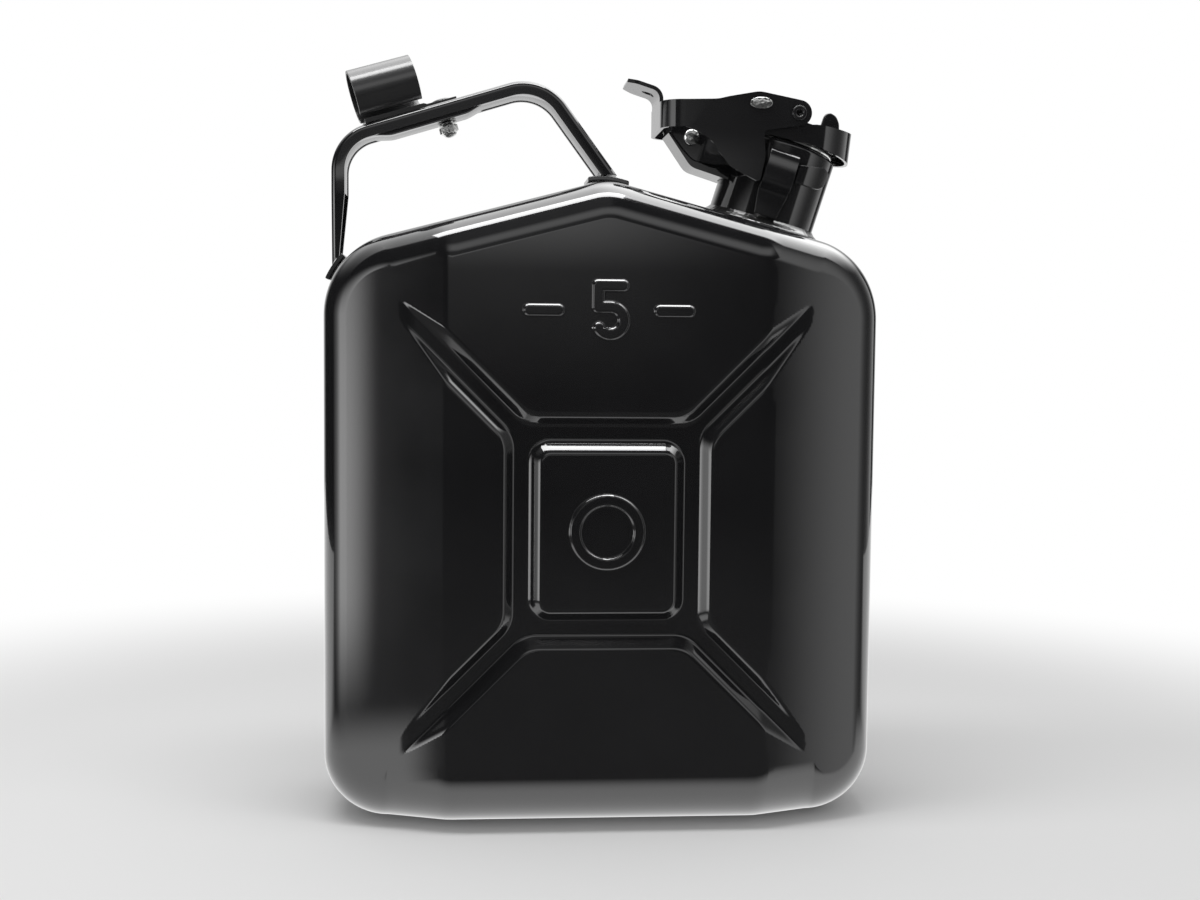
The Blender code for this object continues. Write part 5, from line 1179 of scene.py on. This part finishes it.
plate_face = LEVER_HALF + LEVER_SHEET / 2 + FIT
rivet_inner = LID_HALF - LID_SHEET / 2 - FIT
hollow_course = [tuple(p) for p in eased([
    (PIVOT_BORE, rivet_inner), (PIVOT_SHANK, rivet_inner), (PIVOT_SHANK, plate_face),
    (PIVOT_FLANGE, plate_face), (PIVOT_FLANGE, plate_face + PIVOT_FLANGE_SHEET),
    (PIVOT_BORE, plate_face + PIVOT_FLANGE_SHEET),
], 0.6 * MM, 4)]
hollow_course = hollow_course[5:] + [(PIVOT_BORE, rivet_inner + BORE_FLOOR)]
stud_course = [(STUD_SHANK, LEVER_HALF - LEVER_SHEET / 2 + FIT), (STUD_SHANK, plate_face)]
stud_course += dome((STUD_HALF_LONG, STUD_HALF_SHORT), plate_face, STUD_HEAD, 0.25, 86, 8)
for end, side in (("front", -1), ("rear", 1)):
    fitted("hollow_rivet_" + end, spun(hollow_course, across((0.0, 0.0), side)),
           "lever_pivot_rivet_" + end, closure_enamel, lever_frame)
    fitted("oval_stud_" + end, spun(stud_course, across((-STUD_REACH, STUD_RISE), side)),
           "lever_stud_" + end, hammered_zinc, lever_frame)

# Handle
# A channel pressed from 1.8 mm sheet, bent into an arch from the left shoulder to the roof's peak.
# Its feet are welded to pads. A strip closes it from inside, with a rounded tray for the fingers.

PAD_SHEET = 2.0 * MM
PAD_HALF = 10.5 * MM
LEG_ROUND = SHOULDER_RADIUS + PAD_SHEET + 2 * FIT
LEG_PLACE = math.radians(33.4)
LEG_X = -(SHOULDER_X + LEG_ROUND * math.cos(LEG_PLACE))
CORNER_RISE = 75.6 * MM
CREST_X = -24.9 * MM
CREST_RISE = 43.8 * MM
HANDLE_FOOT_X = 6.4 * MM
HANDLE_LEG_ROUND = 20.0 * MM
HANDLE_CREST_ROUND = 22.0 * MM
HANDLE_WIDTH = 25.0 * MM
HANDLE_FOOT_WIDTH = 19.0 * MM
HANDLE_SHEET = 1.8 * MM
HANDLE_FLANGE = 5.6 * MM
HANDLE_FOOT_FLANGE = 2.8 * MM
HANDLE_EDGE = 2.2 * MM
HANDLE_TAPER = 30.0 * MM
HANDLE_ARC_STEPS = 20
TAPER_STEPS = 10
LEFT_PAD_LOW = math.radians(24.0)
LEFT_PAD_HIGH = math.radians(43.0)
RIGHT_PAD_BACK = 4.0 * MM
RIGHT_PAD_FRONT = 5.0 * MM
TRAY_LEAD = 1.2 * MM
TRAY_LENGTH = 49.0 * MM
TRAY_DEPTH = 7.2 * MM
TRAY_SHEET = 1.4 * MM
TRAY_END = 9.0 * MM
TRAY_STEPS = 10
STRIP_LIFT = 1.0 * MM
STRIP_SINK = 0.1 * MM
BOLT_PLACE = 47.9 * MM
BOLT_RADIUS = 2.0 * MM

corner = Vector((LEG_X, SHOULDER_Z + CORNER_RISE))
crest = Vector((CREST_X, PEAK_HEIGHT + CREST_RISE))
grip_heading = (crest - corner).normalized()
handle_enamel = enamel("handle_enamel", (0.0065, 0.0065, 0.007), 0.14)


def roof_height(x):
    if abs(x) < PEAK_RADIUS * math.sin(ROOF_ANGLE):
        return PEAK_CENTRE_Z + math.sqrt(PEAK_RADIUS ** 2 - x ** 2)
    return PEAK_HEIGHT - ROOF_SLOPE * abs(x)


def bend_between(before, at, after, radius):
    into, out_of = (at - before).normalized(), (after - at).normalized()
    turn = into.angle(out_of)
    side = Vector((into.y, -into.x))
    centre = at - into * (radius * math.tan(turn / 2)) + side * radius
    angles = [turn * i / HANDLE_ARC_STEPS for i in range(HANDLE_ARC_STEPS + 1)]
    return [centre - side * (radius * math.cos(a)) + into * (radius * math.sin(a)) for a in angles]


def handle_line():
    start = Vector((LEG_X, SHOULDER_Z + LEG_ROUND * math.sin(LEG_PLACE)))
    foot = Vector((HANDLE_FOOT_X, roof_height(0.0) + PAD_SHEET + 2 * FIT))
    line = [start + Vector((0.0, HANDLE_TAPER * i / TAPER_STEPS)) for i in range(TAPER_STEPS + 1)]
    line += bend_between(start, corner, crest, HANDLE_LEG_ROUND)
    line += bend_between(corner, crest, foot, HANDLE_CREST_ROUND)
    line.append(foot)
    return line


def channel_section(width, flange, edge):
    half = width / 2
    inner_edge = edge - HANDLE_SHEET
    outer = [(-half, -flange)] + arc((-half + edge, -edge), edge, math.pi, math.pi / 2, 6)
    outer += arc((half - edge, -edge), edge, math.pi / 2, 0.0, 6) + [(half, -flange)]
    inner = [(half - HANDLE_SHEET, -flange)]
    inner += arc((half - edge, -edge), inner_edge, 0.0, math.pi / 2, 6)
    inner += arc((-half + edge, -edge), inner_edge, math.pi / 2, math.pi, 6)
    return outer + inner + [(-half + HANDLE_SHEET, -flange)]


def along_line(course, sections, foot_slope=0.0):
    """Lofts sections square to a line in the middle plane. The last is cut level, for the roof."""
    last = len(course) - 1
    rings = []
    for i, (here, along, section) in enumerate(zip(course, headings(course), sections)):
        out = Vector((-along.y, along.x))
        ring = []
        for y, rise in section:
            place = here + out * rise
            if i == 0:
                place += along * (rise * foot_slope)
            if i == last:
                place -= along * (rise * out.y / along.y)
            ring.append((place.x, y, place.y))
        rings.append(ring)
    return loft(rings)


def handle_channel():
    line = handle_line()
    sections = []
    for i in range(len(line)):
        share = min(1.0, i / TAPER_STEPS)
        width = HANDLE_FOOT_WIDTH + (HANDLE_WIDTH - HANDLE_FOOT_WIDTH) * share
        flange = HANDLE_FOOT_FLANGE + (HANDLE_FLANGE - HANDLE_FOOT_FLANGE) * share
        sections.append(channel_section(width, flange, min(HANDLE_EDGE, flange)))
    return along_line(line, sections, (LEG_X + SHOULDER_X) / (line[0].y - SHOULDER_Z))


def on_grip(along, out, y):
    """A place beside the grip: distance along it, above its top face, and sideways."""
    place = corner + grip_heading * along + Vector((-grip_heading.y, grip_heading.x)) * out
    return (place.x, y, place.y)


def about_bolt(a, b, out):
    return on_grip(BOLT_PLACE + a, out, b)


def closing_strip():
    half = HANDLE_WIDTH / 2 - HANDLE_SHEET - FIT
    line = handle_line()
    grip_start = TAPER_STEPS + HANDLE_ARC_STEPS + 1
    sinking = [(i / TRAY_STEPS, float(smooth_step(0, 1, i / TRAY_STEPS)))
               for i in range(TRAY_STEPS + 1)]
    tray = [(TRAY_LEAD + TRAY_END * a, b) for a, b in sinking]
    tray += [(TRAY_LEAD + TRAY_LENGTH - TRAY_END * a, b) for a, b in reversed(sinking)]
    course = [(place, 0.0) for place in line[TAPER_STEPS:grip_start + 1]]
    course += [(line[grip_start] + grip_heading * run, share) for run, share in tray]
    course += [(place, 0.0) for place in line[grip_start + 1:-1]]
    down = (line[-1] - line[-2]).normalized()
    course.append((line[-1] + down * (STRIP_LIFT / down.y), 0.0))
    sections = []
    for _, share in course:
        depth = TRAY_DEPTH * share + (HANDLE_FLANGE - STRIP_SINK) * (1 - share)
        edge = FIT + (TRAY_SHEET - FIT) * share
        section = [(-half, -HANDLE_EDGE)]
        section += arc((-half + edge, -depth + edge), edge, math.pi, 3 * math.pi / 2, 5)
        section += arc((half - edge, -depth + edge), edge, -math.pi / 2, 0.0, 5)
        wall = half - TRAY_SHEET
        section += [(half, -HANDLE_EDGE), (wall, -HANDLE_EDGE), (wall, TRAY_SHEET - depth),
                    (-wall, TRAY_SHEET - depth), (-wall, -HANDLE_EDGE)]
        sections.append(section)
    return along_line([here for here, _ in course], sections)


bolt_drill = rod(BOLT_RADIUS + FIT, -TRAY_DEPTH * 2, TRAY_DEPTH * 2, about_bolt)
fitted("handle_channel", handle_channel(), "handle", handle_enamel,
       cuts=(bolt_drill,), ease=SHEET_EDGE)
fitted("closing_strip", closing_strip(), "grip_insert", handle_enamel,
       cuts=(bolt_drill,), ease=0.2 * MM)
pad_inner = SHOULDER_RADIUS + FIT
pad_centre = (-SHOULDER_X, SHOULDER_Z)
pad_low, pad_high = math.pi - LEFT_PAD_LOW, math.pi - LEFT_PAD_HIGH
pad_outline = arc(pad_centre, pad_inner, pad_low, pad_high, 16)
pad_outline += arc(pad_centre, pad_inner + PAD_SHEET, pad_high, pad_low, 16)
fitted("left_pad", loft([[(x, y, z) for x, z in pad_outline] for y in (-PAD_HALF, PAD_HALF)]),
       "handle_foot_left", handle_enamel, ease=0.5 * MM)
pad_start = HANDLE_FOOT_X - HANDLE_FLANGE * 1.5 - RIGHT_PAD_BACK
pad_places = np.linspace(pad_start, HANDLE_FOOT_X + RIGHT_PAD_FRONT, 25)
pad_outline = [(x, roof_height(x) + FIT) for x in pad_places]
pad_outline += [(x, z + PAD_SHEET) for x, z in reversed(pad_outline)]
fitted("right_pad", loft([
    [(x, y, z) for x, z in pad_outline] for y in (-HANDLE_WIDTH / 2, HANDLE_WIDTH / 2)
]), "handle_foot_right", handle_enamel, ease=0.5 * MM)

# Spout clip
# A strip of 1.2 mm spring steel rolled into a tube that stores a pouring spout. A bolt through its
# tongue holds it and the tray to the grip, with a plated washer and nut under the fingers.

CLIP_RADIUS = 11.27 * MM
CLIP_SHEET = 1.2 * MM
CLIP_LENGTH = 27.0 * MM
CLIP_START = 12.8 * MM
CLIP_RISE = 1.3 * MM
CLIP_TURN = math.radians(322.0)
CLIP_YAW = math.radians(7.0)
TONGUE_HALF = 7.0 * MM
TONGUE_OVERHANG = 6.0 * MM
BOLT_HEAD_RADIUS = 4.2 * MM
BOLT_HEAD = 1.1 * MM
WASHER_RADIUS = 4.2 * MM
WASHER_SHEET = 0.8 * MM
NUT_ACROSS = 7.0 * MM
NUT_HEIGHT = 3.4 * MM
NUT_DOME = 1.9 * MM
NUT_EDGE = 0.45 * MM


def on_clip(along, out, y):
    """A place on the clip, which sits turned a little about its bolt."""
    offset = along - BOLT_PLACE
    along = BOLT_PLACE + offset * math.cos(CLIP_YAW) - y * math.sin(CLIP_YAW)
    return on_grip(along, out, y * math.cos(CLIP_YAW) + offset * math.sin(CLIP_YAW))


clip_low = FIT + CLIP_RISE
clip_far = CLIP_START + CLIP_LENGTH
clip_middle, clip_end = (0.0, clip_low + CLIP_RADIUS), -math.pi / 2 + CLIP_TURN
clip_roll = arc(clip_middle, CLIP_RADIUS, -math.pi / 2, clip_end, 72)
clip_roll += arc(clip_middle, CLIP_RADIUS - CLIP_SHEET, clip_end, -math.pi / 2, 72)
tongue = []
for along, high in (
    (CLIP_START + CLIP_SHEET, clip_low + CLIP_SHEET / 2), (clip_far, clip_low + CLIP_SHEET / 2),
    (clip_far + CLIP_RISE, FIT + CLIP_SHEET), (BOLT_PLACE + TONGUE_OVERHANG, FIT + CLIP_SHEET),
):
    tongue.append([
        on_clip(along, FIT, -TONGUE_HALF), on_clip(along, FIT, TONGUE_HALF),
        on_clip(along, high, TONGUE_HALF), on_clip(along, high, -TONGUE_HALF),
    ])
clip_enamel = enamel("clip_enamel", (0.012, 0.012, 0.0125), 0.34, sheen=0.20)
fitted("clip_roll", loft([[on_clip(along, out, y) for y, out in clip_roll]
                          for along in (CLIP_START, clip_far)]),
       "spout_clip", clip_enamel, joins=(loft(tongue),), cuts=(bolt_drill,),
       ease=SHEET_EDGE)


def nut_flats(angle):
    return NUT_ACROSS / 2 / math.cos((angle % (math.pi / 3)) - math.pi / 6)


bolt_seat = FIT + CLIP_SHEET + FIT
washer_top = -TRAY_DEPTH - FIT
nut_top = washer_top - WASHER_SHEET - FIT
nut_face = nut_top - NUT_HEIGHT
bolt_course = [(BOLT_RADIUS * 0.7, nut_face + 1.0 * MM), (BOLT_RADIUS, nut_face + 1.5 * MM),
               (BOLT_RADIUS, bolt_seat), (BOLT_HEAD_RADIUS, bolt_seat)]
bolt_course += dome((BOLT_HEAD_RADIUS,), bolt_seat, BOLT_HEAD, 0.2, 84, 9)
fitted("clip_screw", spun(bolt_course, about_bolt), "clip_bolt", handle_enamel)
washer_under = washer_top - WASHER_SHEET
fitted("plated_washer", turned([
    (BOLT_RADIUS + FIT, washer_top), (WASHER_RADIUS, washer_top), (WASHER_RADIUS, washer_under),
    (BOLT_RADIUS + FIT, washer_under),
], 0.15 * MM, 48, about_bolt), "clip_washer", bright_zinc)
hex_corner = NUT_ACROSS / 2 / math.cos(math.pi / 6)
nut_chamfer = NUT_ACROSS * 0.46
nut_course = [(nut_chamfer, nut_top), (hex_corner, nut_top - NUT_EDGE),
              (hex_corner, nut_face + NUT_EDGE), (nut_chamfer, nut_face)]
nut_course += dome((NUT_ACROSS * 0.40,), nut_face, -NUT_DOME, 0.15, 85, 12)
fitted("domed_nut", spun(nut_course, about_bolt, 72, flats=nut_flats), "clip_nut", bright_zinc,
       cuts=(rod(BOLT_RADIUS + FIT, nut_face, nut_top + OVERRUN, about_bolt),), ease=0.08 * MM)

# Studio
# The can stands on a sheet of white card. A long soft box hangs over it, the backdrop and the two
# sides are pale, and the room behind the camera is dark, which keeps the flat panels black.

CARD_HALF = 0.95
CARD_FRONT = -0.70
CARD_BACK = 1.30
CARD_WHITE = 0.84
CARD_CLEAR = 0.30
CARD_FADE = 0.62
CARD_DARK = -0.092
CARD_LIT = -0.062
CARD_LEFT = 0.10
CARD_TURN = 1.1
CARD_NEAR = (0.33, 0.22)
CARD_BEHIND = (-0.05, 0.05)
BOX_HEIGHT = 0.78
BOX_WIDTH = 0.62
BOX_DEPTH = 0.15
BOX_ACROSS = -0.13
BOX_PLACE = -0.137
BOX_WATTS = 2.2
ROOM_LIGHT = 0.65
ROOM_DARK = 0.012

# What gloss sees of the room. Each surface is a product of ramps along x, y or z of the direction,
# or along its turn to the right: where the ramp starts, where it ends, and its strength there.
FRONT_MIDDLE = (("y", -0.2, -0.5, 1.0), ("x", -0.50, -0.20, 1.0), ("x", 0.21, 0.05, 1.0))
BACKDROP = (("y", 0.35, 0.90, 0.62), ("x", -0.75, -0.35, 1.0), ("x", 0.75, 0.35, 1.0))
CEILING = (("y", -0.20, -0.12, 4.4), ("y", 1.05, 0.45, 1.0), ("z", 0.30, 0.60, 1.0),
           ("x", -1.1, 0.5, 1.0), ("x", 1.0, 0.5, 1.0))
LEFT_BOX = (("turn", -0.696, -0.713, 2.2), ("turn", -1.03, -0.90, 1.0), ("z", -0.25, -0.15, 1.0),
            ("z", 0.35, -0.10, 1.0), ("y", 0.1, -0.1, 1.0))
LEFT_FLOOR = (("turn", -0.2, -0.6, 0.10), ("z", -0.19, -0.24, 1.0))
RIGHT_CARD = (("turn", 0.783, 0.820, 0.68), ("turn", 1.06, 0.82, 1.0), ("z", 0.85, 0.45, 1.0))
FRONT_GLOW = FRONT_MIDDLE + (("z", 0.025, 0.080, 0.62), ("z", 0.130, 0.100, 1.0))
UPPER_GLOW = (("y", -0.1, -0.3, 1.0), ("x", -0.50, -0.20, 1.0), ("x", 0.80, 0.50, 1.0),
              ("z", 0.20, 0.40, 0.62), ("z", 0.72, 0.48, 1.0))
FRONT_HAZE = FRONT_MIDDLE + (("z", -0.06, 0.04, 0.10),)
LOW_HAZE = (("z", -0.05, -0.22, 0.06),)

card_mesh = bpy.data.meshes.new("card")
card_mesh.from_pydata([
    (-CARD_HALF, CARD_FRONT, 0.0), (CARD_HALF, CARD_FRONT, 0.0), (CARD_HALF, CARD_BACK, 0.0),
    (-CARD_HALF, CARD_BACK, 0.0),
], [], [(0, 1, 2, 3)])
card = in_scene("card", card_mesh)


def worked_out(tree, operation, *values):
    """The result of a Math node, from sockets or plain numbers."""
    return node_for(tree, "Math", dict(enumerate(values)), operation=operation)[0]


def ramp(tree, value, low, high, top=1.0):
    """Rises smoothly from nothing at low to the given top at high."""
    ends = {"Value": value, "From Min": low, "From Max": high, "To Max": top}
    return node_for(tree, "MapRange", ends, interpolation_type="SMOOTHSTEP")["Result"]


def white_card():
    """Matt white card, which fades into the white backdrop away from the can.

    Gloss shows the lit card beneath and behind the can, and the dark room in front of it.
    """
    made, tree, paper, place = blank_finish("white_card")
    feed(tree, paper, {"Base Color": (CARD_WHITE, CARD_WHITE, CARD_WHITE, 1.0), "Roughness": 0.95,
                       "Specular IOR Level": 0.0})
    reach = node_for(tree, "VectorMath", {0: place}, operation="LENGTH")["Value"]
    x, y, _ = node_for(tree, "SeparateXYZ", {0: place})
    ray = node_for(tree, "LightPath", {})
    white = node_for(tree, "Emission", {"Color": (1.0, 1.0, 1.0, 1.0)})[0]
    clear = node_for(tree, "BsdfTransparent", {})[0]
    far = ramp(tree, reach, CARD_CLEAR, CARD_FADE)
    left_ward = worked_out(tree, "MULTIPLY_ADD", x, -1.0, -CARD_LEFT)
    forward = worked_out(tree, "MULTIPLY", worked_out(tree, "MAXIMUM", left_ward, 0.0),
                         CARD_TURN)
    lit = ramp(tree, worked_out(tree, "ADD", y, forward), CARD_DARK, CARD_LIT)
    close, behind = ramp(tree, reach, *CARD_NEAR), ramp(tree, y, *CARD_BEHIND)
    lit = worked_out(tree, "MULTIPLY", lit, worked_out(tree, "MAXIMUM", close, behind))

    def mix(share, first, second):
        return node_for(tree, "MixShader", {0: share, 1: first, 2: second})[0]

    faded = worked_out(tree, "MULTIPLY", far, ray["Is Camera Ray"])
    whole = mix(ray["Is Glossy Ray"], mix(faded, paper.outputs[0], white), mix(lit, clear, white))
    feed(tree, tree.nodes["Material Output"], {"Surface": whole})
    return made


card_mesh.materials.append(white_card())

box_light = bpy.data.lights.new("box_overhead", "AREA")
box_light.shape = "RECTANGLE"
box_light.size = BOX_WIDTH
box_light.size_y = BOX_DEPTH
box_light.energy = BOX_WATTS
in_scene("box_overhead", box_light).location = (BOX_ACROSS, BOX_PLACE, BOX_HEIGHT)


def studio_world():
    """White to the camera, an even grey to matt surfaces, and the room's surfaces to gloss."""
    made = bpy.data.worlds.new("studio")
    made.use_nodes = True
    tree = made.node_tree
    x, y, z = node_for(tree, "SeparateXYZ", {0: node_for(tree, "TexCoord", {})["Generated"]})
    flat = node_for(tree, "CombineXYZ", {0: x, 1: y})[0]
    heading = node_for(tree, "VectorMath", {0: flat}, operation="NORMALIZE")[0]
    sources = {"x": x, "y": y, "z": z, "turn": node_for(tree, "SeparateXYZ", {0: heading})[0]}
    level = ROOM_DARK
    for surface in (BACKDROP, CEILING, LEFT_BOX, LEFT_FLOOR, RIGHT_CARD, FRONT_GLOW, UPPER_GLOW,
                    FRONT_HAZE, LOW_HAZE):
        strength = 1.0
        for source, *ends in surface:
            strength = worked_out(tree, "MULTIPLY", ramp(tree, sources[source], *ends), strength)
        level = worked_out(tree, "MAXIMUM", strength, level)

    def choose(share, otherwise, value):
        return node_for(tree, "Mix", {0: share, 2: otherwise, 3: value}, data_type="FLOAT")[0]

    ray = node_for(tree, "LightPath", {})
    seen = choose(ray["Is Glossy Ray"], ROOM_LIGHT, level)
    seen = choose(ray["Is Camera Ray"], seen, 1.0)
    feed(tree, tree.nodes["Background"], {"Strength": seen, "Color": (1.0, 1.0, 1.0, 1.0)})
    return made


bpy.context.scene.world = studio_world()

# Camera
# It stands left of the middle, at about two thirds of the can's height, and looks a little down
# and to the right, as for the photograph.

CAMERA_PLACE = Vector((-0.057, -0.700, 0.204))
CAMERA_YAW = math.radians(4.75)
CAMERA_PITCH = math.radians(-4.09)
CAMERA_ROLL = math.radians(0.56)
FOCAL_PIXELS = 1615.2
PICTURE_WIDTH = 1200

ahead = Vector((
    math.sin(CAMERA_YAW) * math.cos(CAMERA_PITCH), math.cos(CAMERA_YAW) * math.cos(CAMERA_PITCH),
    math.sin(CAMERA_PITCH),
))
level = Vector((math.cos(CAMERA_YAW), -math.sin(CAMERA_YAW), 0.0))
above = level.cross(ahead)
right = level * math.cos(CAMERA_ROLL) + above * math.sin(CAMERA_ROLL)
up = above * math.cos(CAMERA_ROLL) - level * math.sin(CAMERA_ROLL)
camera_data = bpy.data.cameras.new("camera")
camera_data.sensor_width = 36.0
camera_data.lens = FOCAL_PIXELS / PICTURE_WIDTH * camera_data.sensor_width
camera_data.clip_start = 0.02
camera = in_scene("camera", camera_data)
facing_can = Matrix((right, up, -ahead)).transposed().to_4x4()
camera.matrix_world = Matrix.Translation(CAMERA_PLACE) @ facing_can
bpy.context.scene.camera = camera
bpy.context.scene.view_settings.view_transform = "Standard"
